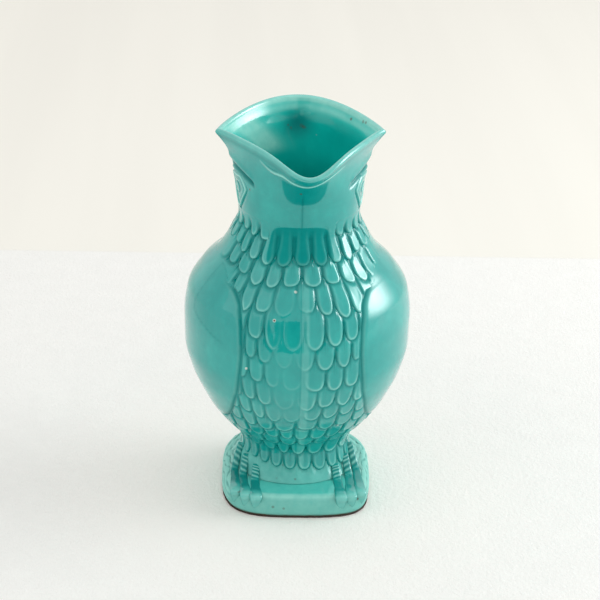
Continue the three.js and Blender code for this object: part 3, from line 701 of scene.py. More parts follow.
def feather_surface(vessel, row, angle, level, upper, lower, slopes):
    """Depth and glaze marks (pool, edge, matte) of a row of feathers on a grid. Each feather is a
    low oval that rounds down to its grooves, with a rim along its lower edge, and comes out from
    under the row above. It fades into the bare surface round the sides, at the neck's roof and
    where the wing has melted into it."""
    relief = vessel.relief

    # Metres from the tip, from the row above, from the feather's sides and from the wing
    round_pace, up_pace = vessel.pace(angle, level)
    place, half = row.across(angle)
    upper_slope, lower_slope = slopes
    rise = (level - row.tip_share) / (row.top_share - row.tip_share)
    tip = from_line(level - lower, lower_slope, round_pace, up_pace)
    top = from_line(upper - level, upper_slope, round_pace, up_pace)
    slim = 1 - row.slimness * ease((rise - 0.3) / 0.8)
    side = (slim - np.abs(place)) * half * round_pace
    wing = vessel.wing_distance(angle, level)
    flat_wing = wing_fade(angle, level)
    beside = mix(-wing, 4 * MM, flat_wing)
    border = softer_min(softer_min(tip, side, 1.6 * MM), beside, MM)

    # The feather's form, worn down in the middle of the breast
    hidden = shoulder(top, 2.2 * MM)
    pillow = shoulder(border, relief.feather_shoulder) * (0.3 + 0.7 * hidden)
    lip = hump(border - 1.2 * MM, 0.6 * MM) * shoulder(top, 4 * MM)
    groove_depth = relief.groove_depth * row.groove_share
    clear = 1 - worn(angle, level)
    depth = groove_depth * (1 - pillow) - 0.14 * MM * lip
    tile = 0.38 * MM * ease((10 * MM - tip) / (10 * MM)) * row.groove_share
    depth = (depth + 0.3 * MM - tile * pillow) * clear + 0.22 * MM * (1 - clear)

    # Where the glaze pools, and where it breaks over the rim
    outside = ease((np.abs(angle) - BIB_ANGLE) / 4) if row.number == 1 else 1
    groove = np.maximum(0.9 * np.where(border < 0, 1, hump(border, 0.85 * MM)),
                        0.7 * hump(top, 0.8 * MM) * outside)
    if row.number:
        above, _ = FeatherRow(vessel, row.number - 1).across(angle)
        groove = np.maximum(groove, np.abs(above) ** 8 * hump(top - 0.4 * MM, 1.9 * MM) * outside)
    groove = groove * (0.55 + 0.45 * row.groove_share)
    groove = groove * (1 - flat_wing * ease((wing + 2 * MM) / (2 * MM)))
    low_half = 1 - 0.8 * ease((rise - 0.1) / 0.6)
    edge = hump(border - 1.45 * MM, 0.75 * MM) * shoulder(top, 3 * MM) * (1 - groove) * low_half

    # Where the row fades into the bare surface
    depth = mix(depth, 0.25 * MM, flat_wing * ease((wing + 3 * MM) / (3 * MM)))
    past = ease((-0.5 * MM - tip) / (1.5 * MM))
    depth, groove, edge = mix(depth, 0.3 * MM, past), groove * (1 - past), edge * (1 - past)
    shown = 1 - ease((np.abs(angle) - (64 if row.number in ROWS_UNDER_WING else 88)) / 14)
    if row.number < 2:
        opened = NECK_TOP_SHARE if row.number == 0 else BIB_SHARE
        faded = ease((opened - level) * up_pace / (8 * MM))
        shown = shown * np.maximum(faded, outside if row.number == 1 else 0)
    depth = mix(vessel.resting_depth(angle, level), depth, shown)
    depth = depth + vessel.seam(angle, round_pace)
    depth = mix(depth, 2.5 * MM, ease((wing - 0.95 * MM) / MM))

    # The mould's seam, a painted highlight beside it, and painted shade on the upper breast
    across = angle * round_pace
    # Painted highlight: a pale band beside the seam on its proud half, below the upper breast
    seam_highlight = ease(across / (0.6 * MM) + 0.5) * ease((4.6 * MM - across) / (1.6 * MM))
    low_down = ease((0.69 - level) / 0.03)
    seam_line = hump(across + 0.3 * MM, 0.5 * MM)
    groove = groove * shown * clear
    pool_and_shade = np.maximum(groove, seam_line * mix(0.75, 0.3, low_down))
    # Painted shade on the upper breast: darker glaze colour, and the coat taken off
    shade_patch = painted_shade_patch(angle, level, BREAST_SHADE_PATCH) if row.number == 1 else 0 * level
    pool_and_shade = np.maximum(pool_and_shade, 0.6 * shade_patch)
    edge = 0.62 * edge * shown * (0.1 + 0.9 * clear) + 0.2 * seam_highlight * low_down * (1 - groove)
    return depth, pool_and_shade, edge, 0.95 * shade_patch


def wing_fade(angle, level):
    """How far the wing's outline has melted into the body: at its upper edge and its lower tip."""
    away = np.abs(turned(angle))
    high = ease((level - 0.612) / 0.03)
    low = ease((0.235 - level) / 0.05)
    return np.maximum(high * ease((away - 38) / 12), low * ease((away - 50) / 14))


def make_feather_row(vessel, number, name, material, side=0):
    """A row of feathers as one skin: a grid of angles whose columns run from the row's upper edge
    to its lower one. side keeps only the half to the owl's left or right."""
    row = FeatherRow(vessel, number)
    relief, height = vessel.relief, row.height
    start = BIB_ANGLE - 3 if side else -row.reach
    step = FEATHER_STEP if row.reach < 60 else WIDE_FEATHER_STEP
    angle = np.arange(start, row.reach + step / 2, step)
    if side < 0:
        angle = -angle[::-1]
    upper, lower = row.upper_level(angle), row.lower_level(angle)
    tips = row.tip_level(angle) if number in ROWS_UNDER_WING else lower
    tucked = np.full_like(angle, relief.tuck / height if number else 0)
    if number == 1:
        tucked = tucked * ease((np.abs(angle) - BIB_ANGLE) / 4)
    open_rows = upper + tucked - lower > 0.6 * MM / height
    if not side:
        first, last = np.flatnonzero(open_rows)[[0, -1]]
        angle, upper, lower, tips, tucked = (
            values[first:last + 1] for values in (angle, upper, lower, tips, tucked))
    slopes = (np.gradient(upper, angle), np.gradient(tips, angle))
    start_level = np.maximum(upper + tucked, lower + 0.3 * MM / height)
    steps = max(14, int(np.max(start_level - lower) * height / FEATHER_GRID))
    level = mix(start_level, lower, np.linspace(0, 1, steps)[:, None])
    angles = np.broadcast_to(angle, level.shape)
    depth, pool_and_shade, edge, matte_and_shade = feather_surface(vessel, row, angles, level, upper, tips, slopes)
    outer = vessel.point(angles, level, depth + vessel.hand(angles, level))
    below = mix(start_level, lower, np.linspace(0, 1, FEATHER_BACK_ROWS)[:, None])
    back = vessel.point(np.broadcast_to(angle, below.shape), below, relief.covered_depth - 0.2 * MM)
    marks = {"pool_and_shade": pool_and_shade, "edge": edge, "matte_and_shade": matte_and_shade}
    return add_plate(name, outer, back, marks, material)


def wing_line(vessel, angle, level):
    """The pool mark of a thin line down the wing, with a paler tone ahead of it: a bell about the
    line's angle at each level, across its lean."""
    round_pace, up_pace = vessel.pace(angle, level)
    line, ahead, behind = (np.interp(level + step, *WING_LINE) for step in (0, 0.004, -0.004))
    lean = (ahead - behind) / 0.008 * round_pace / up_pace
    beside = (line - angle) * round_pace / np.hypot(1, lean)
    along = ease((level - 0.475) / 0.02) * ease((0.672 - level) / 0.01)
    mark = 0.5 * hump(beside, 0.45 * MM) + 0.12 * ease(beside / MM) * ease((angle - 46) / 6)
    return along * mark


def make_wing(vessel, side, name, material):
    """A folded wing: smooth, rounding down to a groove along its outline. Its grid is finer towards
    every edge, by a half wave of a cosine."""
    relief = vessel.relief
    bottom, top = WING_EDGE_SHARES[0][0], WING_EDGE_SHARES[-1][0]
    v = np.linspace(0, 1, 150)[:, None]
    u = (1 - np.cos(np.linspace(0, math.pi, 130))) / 2
    level = mix(top, bottom, (1 - np.cos(v * math.pi)) / 2)
    front = vessel.wing_edge(level)
    angle = mix(front, np.minimum(180 - front, WING_BACK_ANGLE), u)
    level = np.broadcast_to(level, angle.shape)
    inside = vessel.wing_distance(angle, level)
    behind = ease((angle - 92) / 20)
    rim = mix(relief.groove_depth, relief.back_depth + 0.3 * MM, behind)
    melted = wing_fade(angle, level)
    rim = mix(rim, 0.12 * MM + vessel.resting_depth(angle, level), melted)
    fall = shoulder(inside, mix(relief.wing_shoulder, 13 * MM, melted))
    depth = rim * (1 - fall) + 0.05 * MM
    marks = {
        "pool_and_shade": hump(inside, 1.9 * MM) * mix(1, 0.6, behind) * (1 - melted),
        "edge": hump(inside - 1.9 * MM, 0.9 * MM) * mix(0.2, 0.3, behind) * (1 - melted),
    }
    if side < 0:
        marks["pool_and_shade"] = marks["pool_and_shade"] + wing_line(vessel, angle, level)
    outer = vessel.point(side * angle, level, depth + vessel.hand(side * angle, level))
    back = vessel.point(side * angle[[0, -1]], level[[0, -1]], 2.1 * MM)
    return add_plate(name, outer, back, marks, material)


def covered_distance(vessel, angle, level):
    """Metres inside the part of the wall that feathers or wings cover: the least of the distances
    to the feathers' sides, roof and foot, or the distance inside the wing where that is more."""
    round_pace, up_pace = vessel.pace(angle, level)
    away = np.abs(turned(angle))
    wing = vessel.wing_distance(angle, level)
    in_wing = (level > WING_EDGE_SHARES[0][0]) & (level < WING_EDGE_SHARES[-1][0])
    limit = np.minimum(np.where(in_wing, vessel.wing_edge(level) + 8, 180), FIELD_SIDE_ANGLE)
    roof = mix(NECK_TOP_SHARE, BIB_SHARE, ease((BIB_ANGLE + 1 - away) / 2))
    rows = np.minimum((limit - away) * round_pace, (roof - level) * up_pace)
    foot = FeatherRow(vessel, len(FEATHER_ROWS) - 1).tip_level(turned(angle))
    rows = np.minimum(rows, (level - foot) * up_pace - 0.3 * MM)
    return np.maximum(rows, wing)


def head_relief(vessel, angle, level):
    """The carved lines of the head: a brow groove over each eye and a hollow round it."""
    relief = vessel.relief
    round_pace, up_pace = vessel.pace(angle, level)
    away = np.abs(turned(angle))
    brow = smooth_curve(BROW_SHARES)
    start, end = BROW_SHARES[0][0], BROW_SHARES[-1][0]
    height = (level - brow(away)) * up_pace
    along = ease((away - start) / 5) * ease((end - away) / 12)
    groove = along * np.exp(-np.abs(height / (1.9 * MM)) ** 3)
    bulge = along * hump(height - 3.2 * MM, 2.2 * MM)
    below = along * hump(height + 2.6 * MM, 1.5 * MM)
    across = (away - EYE_ANGLE) * round_pace
    up = (level - EYE_SHARE) * up_pace
    distance = np.hypot(across, up) - eye_outline(relief, -across, up)
    socket = hump(distance, 1.3 * MM)
    depth = relief.brow_depth * groove - 0.5 * MM * bulge - 0.25 * MM * below + 0.55 * MM * socket
    pool_and_shade = np.maximum(groove, 0.75 * hump(distance, 0.8 * MM))
    edge = 0.3 * along * hump(height + 2.3 * MM, 0.7 * MM)
    return depth, pool_and_shade, edge


def eye_outline(relief, forward, up):
    """Reach of the eye's outline: a rounded triangle with a straight brow above and its corner in
    front. Its sides are lines at set distances from the middle, joined as a high power mean."""
    turn = np.arctan2(up, forward)
    power = EYE_SQUARENESS
    total = sum((np.clip(np.cos(turn - math.radians(facing)), 0, 1) / share) ** power
                for facing, share in EYE_SIDES)
    return np.minimum(total ** (-1 / power), EYE_CORNER_SHARE) * relief.eye_height / 2


def outer_wall(vessel, angle):
    """The vessel's outside from the plinth to the rim, with the carved head and the bare leg. It
    sinks under feathers and wings, deeper behind the wing. Gives points and glaze marks."""
    levels = np.concatenate([
        np.linspace(0, 0.74, 96, endpoint=False), np.linspace(0.74, 0.985, 104, endpoint=False),
        np.linspace(0.985, 1, 5)])[:, None]
    angles, levels = np.broadcast_arrays(angle, levels)
    round_pace, up_pace = vessel.pace(angles, levels)
    cover = covered_distance(vessel, angles, levels)
    carve, pool_and_shade, edge = head_relief(vessel, angles, levels)
    on_head = ease((levels - 0.79) / 0.02)
    leg = ease((0.09 - levels) / 0.02)
    lip_gap = (1 - levels) * up_pace
    depth = (vessel.resting_depth(angles, levels) + carve * on_head
             - 0.25 * MM * hump(lip_gap - 1.2 * MM, MM)
             + vessel.hand(angles, levels) + vessel.seam(angles, round_pace)
             + 0.9 * MM * leg * ease((cover + 5 * MM) / (4 * MM)))
    behind = ease((np.abs(turned(angles)) - 84) / 6) * (vessel.wing_distance(angles, levels) > 0)
    deeper = mix(0.5 * MM, 3 * MM, behind)
    depth = mix(depth, vessel.relief.covered_depth, ease((cover - deeper) / MM))
    seam_zone = ease((levels - 0.68) / 0.03) * ease((0.92 - levels) / 0.05)
    seam_line = hump(turned(angles) * round_pace, 0.5 * MM) * seam_zone
    # Painted shade under the lip: darker glaze colour, and less coat
    chin_shade = painted_shade_patch(angles, levels, CHIN_SHADE_PATCH) * ease((0.952 - levels) / 0.005)
    pool_and_shade = (pool_and_shade * on_head + 0.7 * seam_line + 0.42 * chin_shade + 0.6 * leg * hump(cover, 0.8 * MM)
            + 0.35 * hump(lip_gap - 3.2 * MM, 1.3 * MM))
    edge = edge * on_head + 0.35 * hump(lip_gap, 0.9 * MM) + 0.42 * leg
    return vessel.point(angles, levels, depth), {
        "pool_and_shade": np.clip(pool_and_shade, 0, 1), "edge": np.clip(edge, 0, 1), "bright": 0 * edge,
        "matte_and_shade": np.clip(0.6 * chin_shade + 0.6 * leg, 0, 1)}


def inner_wall(vessel, angle):
    """The vessel's inside from the rim down to the floor, with the hollow and the fine ridge
    behind. It is painted paler, as a highlight, in a slanted band to the left, with light painted
    near the mouth and shade deeper down and on the right. Gives points and glaze marks."""
    shape, relief = vessel.shape, vessel.relief
    levels = np.concatenate([np.linspace(1, 0.8, 61), np.linspace(0.795, 0.1, 18),
                             [0.074, 0.06]])[:, None]
    angles, levels = np.broadcast_arrays(angle, levels)
    round_pace, up_pace = vessel.pace(angles, levels)
    under_rim = (1 - levels) * up_pace
    from_back = turned(angles - 180)
    behind = ease((np.abs(turned(angles)) - 96) / 24)
    ledge = ease((under_rim - 5 * MM) / (4.5 * MM)) * ease((26 * MM - under_rim) / (14 * MM))
    ridge = hump(under_rim - 4.6 * MM, 1.5 * MM)
    above_root = (levels - HOLLOW_SHARE) * up_pace
    dimple = hump(np.hypot(from_back * round_pace, above_root * 1.15), 8 * MM)
    thick = mix(shape.wall_thickness + relief.covered_depth, shape.rim_thickness,
                ease((levels - NECK_TOP_SHARE) / (1 - NECK_TOP_SHARE)))
    thick = (thick + behind * (0.12 * MM * ridge - 0.3 * MM * ledge) - MM * dimple
             + 0.5 * vessel.hand(angles + 40, levels))
    points = vessel.point(angles, levels, thick)
    floor = vessel.bottom + shape.floor_thickness
    points[..., 2] = np.maximum(points[..., 2], floor)
    points[-1, :, 2] = floor
    # Painted shade on the inside towards the owl's left, which faces away from the light
    shadow = ease((10 - from_back) / 60)
    # Painted highlight: a slanted band towards the owl's right where the inside mirrors the window,
    # painted through the edge mark
    band = turned(angles) + 136 + 1.4 * (under_rim / MM - 11)
    glow = hump(band, 12) * ease((27 * MM - under_rim) / (9 * MM))
    # Glaze pools in the hollow; painted shade deeper down and on the shaded side
    pool_and_shade = np.clip(0.8 * dimple + 0.3 * shadow * ledge + 0.5 * ease(under_rim / 0.09), 0, 1)
    edge = np.clip(hump(under_rim, 1.2 * MM) + 0.4 * behind * ridge
                   + 0.2 * ease((5 * MM - under_rim) / (2 * MM)), 0, 1)
    return points, {
        "pool_and_shade": pool_and_shade * (1 - glow),
        "edge": np.clip(edge + 1.6 * glow, 0, 1),
        # Painted light: paler near the mouth, less deeper down, in the hollow and on the shaded
        # side
        "bright": (1 - dimple) * (1 - 0.55 * ease(under_rim / 0.04)) * (1 - 0.3 * shadow * ledge),
        # Painted shade: the coat is cut behind and towards the owl's left, below the rim
        "matte_and_shade": 0.9 * ease((22 - from_back) / 24) * ease((under_rim - 8 * MM) / (6 * MM))}


def make_wall(vessel, material):
    """The hollow vessel: the outside up to the rim, half a turn over the rim, and the inside. Its
    columns lie closer together up to WALL_FINE_ANGLE than behind."""
    angle = np.arange(WALL_COLUMNS) * 360 / WALL_COLUMNS
    behind = np.abs(turned(angle)) > WALL_FINE_ANGLE
    angle = angle[~behind | (np.arange(WALL_COLUMNS) % 2 == 0)]
    turns = np.linspace(0, math.pi, RIM_ROWS + 2)[1:-1, None]
    inward = vessel.shape.rim_thickness * (1 - np.cos(turns)) / 2
    rim = vessel.point(*np.broadcast_arrays(angle, 1.0, inward))
    rim[..., 2] += RIM_CROWN * np.sin(turns)
    blank = np.zeros(rim.shape[:2])
    # The glaze thins over the rim, palest on its inner side: partly a painted highlight along that
    # edge
    rim_marks = {"pool_and_shade": blank, "edge": blank + np.linspace(0.35, 1, RIM_ROWS)[:, None],
                 "bright": blank, "matte_and_shade": blank}
    outside, outer_marks = outer_wall(vessel, angle)
    inside, inner_marks = inner_wall(vessel, angle)
    marks = {mark: np.concatenate([values, rim_marks[mark], inner_marks[mark]])
             for mark, values in outer_marks.items()}
    rings = np.concatenate([outside, rim, inside])
    return add_loft("vessel_wall", rings, marks, material, sharp=70)


def head_disc(vessel, side, angle, share, reach_at, profile, name, material):
    """A carved disc on the side of the head: rings of its outline, raised by a profile of the
    share of the way from its middle to its edge."""
    rows, columns = 40, 96
    turn = full_turn(columns)
    shares = np.append(np.linspace(0.02, 1, rows), 1)[:, None]
    lift, pool_and_shade, edge = profile(shares[:-1])
    lift = np.concatenate([lift, [[-MM]]])
    reach = reach_at(np.cos(turn), np.sin(turn))
    round_pace, up_pace = vessel.pace(side * angle, share)
    forward = shares * reach * np.cos(turn)
    up = shares * reach * np.sin(turn)
    angles = side * (angle - forward / round_pace)
    rings = vessel.point(angles, share + up / up_pace, -np.broadcast_to(lift, angles.shape))
    base = vessel.point(angles[-1:] * 0 + side * angle, share, MM)
    rings = np.concatenate([rings, mix(base, rings[-1:], 0.02)])
    blank = np.zeros((2, columns))
    marks = {mark: np.concatenate([np.broadcast_to(values, (rows, columns)), blank])
             for mark, values in (("pool_and_shade", pool_and_shade), ("edge", edge))}
    return add_loft(name, rings, marks, material, sharp=70)


def eye_profile(shares):
    """The eye from its middle to its edge: a hollow, an inner ring, a furrow and a raised rim."""
    lift = MM * (-0.25 + 0.5 * hump(shares - 0.56, 0.09) + 0.75 * hump(shares - 0.88, 0.08)
                 - 0.3 * ease((shares - 0.95) / 0.05))
    pool_and_shade = np.clip(hump(shares - 0.71, 0.08) + hump(shares - 0.42, 0.07), 0, 1)
    edge = np.clip(hump(shares - 0.88, 0.07) + 0.7 * hump(shares - 0.56, 0.06), 0, 1)
    return lift, pool_and_shade, edge


def pupil_profile(shares):
    """The pupil: a low dome, the root of 1 less a power of the share."""
    lift = MM * (-0.3 + 0.9 * np.sqrt(np.clip(1 - shares ** 2.4, 0, 1)))
    return lift, 0.85 * ease((shares - 0.75) / 0.25), 0.6 * hump(shares - 0.5, 0.2)


def make_beak_ridge(vessel, material):
    """The raised line under the lip: a low half-round band whose ends climb to the rim."""
    relief = vessel.relief
    u = np.linspace(-1, 1, 200)
    v = np.linspace(-1, 1, 17)[:, None]
    half = relief.ridge_height / vessel.shape.vessel_height / 2
    taper = ease((1 - np.abs(u)) / 0.55)
    level = RIDGE_SHARE + RIDGE_LIFT_SHARE * u * u - v * half
    angle = np.broadcast_to(u * RIDGE_HALF_ANGLE, level.shape)
    lift = relief.ridge_thickness * (1 - v * v) * (0.05 + 0.8 * taper) - 0.12 * MM
    outer = vessel.point(angle, level, -lift)
    back = vessel.point(angle[:2], level[[0, -1]], 1.4 * MM)
    marks = {"pool_and_shade": 0.7 * hump(np.abs(v) - 1, 0.3) * taper, "edge": 0.9 * hump(v, 0.6) * taper}
    marks = {mark: np.broadcast_to(values, level.shape) for mark, values in marks.items()}
    return add_plate("beak_ridge", outer, back, marks, material)


def plinth_outline(foot, angle, inset):
    """Reach from the axis to a superellipse in plan, drawn in from the plinth's edge."""
    angle = angle + PLINTH_TURN
    ahead = np.cos(angle)
    power = mix(PLINTH_POWER, PLINTH_BACK_POWER, ease(-ahead / 0.5))
    power = power + PLINTH_CORNER_POWER * hump(turned(np.degrees(angle)) - 45, 22)
    reach = foot.plinth_depth / 2 + foot.plinth_front * np.clip(ahead, 0, 1)
    shift = PLINTH_SHIFT * np.sign(np.sin(angle))
    across = np.abs(np.sin(angle)) / (foot.plinth_width / 2 + shift - inset)
    along = np.abs(ahead) / (reach - inset)
    return (across ** power + along ** power) ** (-1 / power)


def around(radius, angle, z):
    """Points round the vertical axis from reaches, angles from straight ahead and heights."""
    return np.stack([radius * np.sin(angle), -radius * np.cos(angle),
                     np.broadcast_to(z, radius.shape)], -1)


def bark(path, angle, wild):
    """A grain like bark round the plinth: waves along the path from foot to ledge, bent by slower
    waves round it, and knots between them. Gives the grain, -1 to 1, and its strength."""
    turn = angle / (2 * math.pi)
    bend = 0.6 * np.sin(7 * angle + 1) + 0.16 * np.sin(19 * angle + 0.3 * path)
    waves = np.sin(2 * math.pi * (path / 2.7 + bend))
    knots = (np.sin(2 * math.pi * (13 * turn + path / 11))
             * np.sin(2 * math.pi * (29 * turn - path / 8)))
    strength = wild * ease(path / 1.5) * ease((30 - path) / 8)
    return np.clip(0.85 * waves + 0.3 * knots, -1, 1), strength


def make_plinth(foot, material):
    """The plinth: its outline in plan, drawn in by an inset at each height and then over the
    ledge. It is smooth in front, with a grain like bark round its sides and back."""
    low, high = (corner.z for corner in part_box("plinth"))
    side_rows, ledge_rows = 46, 33
    angle = full_turn(480)
    wild = ease((np.abs(turned(np.degrees(angle))) - 46) / 14)
    heights = np.linspace(0, 1, side_rows)
    insets = smooth_curve(PLINTH_INSETS)(heights)
    foot_rows = heights < 0.2
    insets[foot_rows] = np.interp(heights[foot_rows], (0, 0.2), (0.28, 0))
    inset = insets[:, None] * mix(2.6 * MM, foot.ledge_inset, wild)
    inward = np.linspace(0, 1, ledge_rows + 1)[1:, None]
    inset = np.concatenate([inset, mix(inset[-1], 24 * MM, inward)])
    z = np.append(mix(low, high, heights), np.full(ledge_rows, high))[:, None]
    side_height = (high - low) / MM
    path = np.append(heights * side_height, side_height + inward * 22)[:, None]
    grain, strength = bark(path, angle, wild)
    bite = foot.bark_depth * strength * (0.5 - 0.5 * grain)
    on_side = np.arange(side_rows + ledge_rows)[:, None] < side_rows
    radius = plinth_outline(foot, angle, inset) - np.where(on_side, bite, 0)
    pool_and_shade = np.clip(strength * ease((-grain - 0.35) / 0.6) * 0.7, 0, 1)
    face = ease((side_height + 1 - path) / 1.5)
    # Pale over the grain's ridges, along the ledge's edge and on the sides; the last term is
    # painted light on the ledge
    edge = np.clip(0.4 * strength * ease((grain - 0.1) / 0.6)
                   + 0.6 * hump(path - side_height, 1.3) * (1 - pool_and_shade)
                   + 0.64 * face * (1 - 0.4 * strength) + 0.55 * strength + 0.34 * (1 - face), 0, 1)
    # Paler glaze painted on the ledge, as painted light
    marks = {"pool_and_shade": pool_and_shade, "edge": edge, "stain": np.clip(1.1 - path / 1.2, 0.14 * face, 1),
             "bright": 0.7 * (1 - face) * (1 - 0.5 * strength), "matte_and_shade": 0.75 * face}
    marks = {mark: np.broadcast_to(values, radius.shape) for mark, values in marks.items()}
    rings = around(radius, angle, z - np.where(on_side, 0, bite))
    return add_loft("plinth", rings, marks, material, sharp=60)


def make_foot(foot, material):
    """The thin bare clay under the plinth: its outline drawn in, a little uneven round it."""
    low, high = (corner.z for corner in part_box("unglazed_foot"))
    angle = full_turn(360)
    heights = np.array([0, 0.25, 0.6, 1])[:, None]
    inset = np.array([0.8, 0.45, 0.35, 0.4])[:, None] * MM
    ragged = 0.08 * MM * np.sin(31 * angle) * np.sin(13 * angle + 1)
    radius = plinth_outline(foot, angle, inset + ragged)
    rings = around(radius, angle, mix(low, high, heights))
    marks = {mark: np.zeros(radius.shape) for mark in ("pool_and_shade", "edge")}
    return add_loft("unglazed_foot", rings, marks, material, "clay", 60)


def spline(points, count):
    """A smooth path through points: each stretch is a cubic, and its slope at a point is half the
    step between that point's neighbours."""
    points = np.asarray(points, float)
    padded = np.concatenate([2 * points[:1] - points[1:2], points, 2 * points[-1:] - points[-2:-1]])
    where = np.linspace(0, len(points) - 1, count)
    i = np.minimum(where.astype(int), len(points) - 2)
    t = (where - i)[:, None]
    p0, p1, p2, p3 = (padded[i + k] for k in range(4))
    return 0.5 * (2 * p1 + t * (p2 - p0 + t * (2 * p0 - 5 * p1 + 4 * p2 - p3
                                               + t * (3 * p1 - p0 - 3 * p2 + p3))))


def directions(path):
    """Unit tangents along a path."""
    tangent = np.gradient(path, axis=0)
    return tangent / np.linalg.norm(tangent, axis=1, keepdims=True)


def make_toe(vessel, foot, side, order, name, material):
    """A toe with scutes down the leg, a smooth knuckle over the ledge and a talon on the plinth:
    an oval section along a smooth path. order is -1 for the inner toe, 0 and 1 for the others."""
    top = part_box("plinth")[1].z
    half = foot.toe_thickness / 2
    column_angle = 56 + 16 * order
    talon_x = (foot.plinth_width / 2 * TALON_SHARES[side]
               + order * 1.16 * (foot.toe_width + 0.5 * MM))

    def on_leg(level, proud):
        return vessel.point(side * (column_angle + 120 * level), level, -proud)

    def on_plinth(height, proud):
        turn = side * np.radians(np.linspace(0, 80, 400))
        reach = plinth_outline(foot, turn, -proud)
        y = -np.interp(talon_x, side * reach * np.sin(turn), reach * np.cos(turn))
        return np.array([side * talon_x, y, height])

    start = on_leg(foot.toe_rise * (0.78 + 0.24 * order) / vessel.shape.vessel_height, 0.1 * MM)
    heel = on_leg(0.0, half * 0.7)
    brink = on_plinth(top - 0.6 * MM, 0.5 * MM)
    on_ledge = [np.append(mix(heel, brink, share)[:2], top + lift * MM)
                for share, lift in ((0.1, 0.6), (0.45, -0.2), (0.78, 0.1))]
    points = [start, mix(start, heel, 0.45), *on_ledge, brink,
              on_plinth(top - 0.45 * foot.talon_length, 0.2 * MM),
              on_plinth(top - foot.talon_length, -0.5 * MM)]
    rows, columns = 130, 32
    path = spline(points, rows)
    tangent = directions(path)
    across = np.array([1.0, 0, 0]) - tangent * tangent[:, :1]
    across /= np.linalg.norm(across, axis=1, keepdims=True)
    outward = np.cross(across, tangent)
    outward *= np.sign((outward * np.array([0, -1.0, 1.0])).sum(1, keepdims=True))
    t = np.linspace(0, 1, rows)[:, None]
    turn = full_turn(columns)
    leg = 1 - ease((t - 0.25) / 0.06)
    ridged = leg * ease(t / 0.05)
    scute = 0.5 + 0.5 * np.cos(2 * math.pi * (t / 0.058 + 0.32 * side * np.cos(turn)))
    width = foot.toe_width / 2 * smooth_curve(TOE_WIDTH_SHARES)(t) * (1 - 0.06 * (order + 1))
    deep = half * smooth_curve(TOE_DEPTH_SHARES)(t) * (1 + 0.22 * ridged * scute)
    rings = (path[:, None] + across[:, None] * (width * drawn(np.cos(turn), 0.75))[..., None]
             + outward[:, None] * (deep * drawn(np.sin(turn), 0.85))[..., None])
    upper = np.clip(np.sin(turn), 0, 1)
    flank = hump(np.sin(turn) - 0.1, 0.4)
    knuckle = hump(t - 0.66, 0.1)
    sunk = ease((t - 0.27) / 0.05) * ease((0.56 - t) / 0.08)
    edge = upper * (0.8 * ridged * scute ** 1.5 + 0.35 * knuckle) + 0.4 * ease((t - 0.6) / 0.1)
    pool_and_shade = ridged * (1 - scute) * 0.7 + (0.5 - 0.3 * knuckle) * flank * (1 - leg)
    # Glaze pools on the sunk middle of each toe; the toes on the owl's right, away from the light,
    # get more as painted shade
    pool_and_shade = pool_and_shade + 0.55 * flank * ease((t - 0.72) / 0.1) + (0.6 if side < 0 else 0.35) * sunk
    marks = {"pool_and_shade": np.clip(pool_and_shade, 0, 1), "edge": np.clip(edge, 0, 1) * (1 - 0.6 * flank)}
    return add_loft(name, rings, marks, material, sharp=80)


def make_handle(vessel, foot, material):
    """The loop behind the head: an oval section along a smooth path, swelling where it joins."""
    shares = (HANDLE_TOP_SHARE, HANDLE_FOOT_SHARE)
    top_z, foot_z = (vessel.bottom + share * vessel.shape.vessel_height for share in shares)
    top_y, foot_y = (float(vessel.back(share)) for share in shares)
    out_y = max(top_y, foot_y) + foot.handle_reach - foot.handle_thickness
    points = []
    for i, (out_share, down_share) in enumerate(HANDLE_PATH_SHARES):
        root_y = top_y if i < len(HANDLE_PATH_SHARES) / 2 else foot_y
        rise = foot.handle_rise if i == 1 else 0
        points.append((0, mix(root_y, out_y, out_share), mix(top_z, foot_z, down_share) + rise))
    for end in (0, -1):
        points[end] = (0, points[end][1] - HANDLE_ROOT, points[end][2])
    rows, columns = 150, 56
    path = spline(points, rows)
    tangent = directions(path)
    up = np.stack([0 * tangent[:, 0], -tangent[:, 2], tangent[:, 1]], -1)
    t = np.linspace(0, 1, rows)[:, None]
    growth = foot.handle_growth * np.abs(2 * t - 1) ** 9
    turn = full_turn(columns)
    across, through = drawn(np.cos(turn), 0.86), drawn(np.sin(turn), 0.86)
    spine = 1 + 0.05 * np.clip(np.sin(turn), 0, 1) ** 6
    half_width = (foot.handle_width + growth) / 2 * 0.985
    half_deep = (foot.handle_thickness + growth) / 2 * 0.96
    rings = path[:, None] + np.array([1.0, 0, 0]) * (half_width * across)[..., None]
    rings = rings + up[:, None] * (half_deep * through * spine)[..., None]
    near_root = hump(1 - np.abs(2 * t - 1), 0.05)
    pool_and_shade = np.broadcast_to(0.7 * near_root, rings.shape[:2])
    edge = np.broadcast_to(0.4 * np.abs(np.cos(turn)) ** 8 * (1 - near_root), rings.shape[:2])
    return add_loft("handle", rings, {"pool_and_shade": pool_and_shade, "edge": edge}, material)


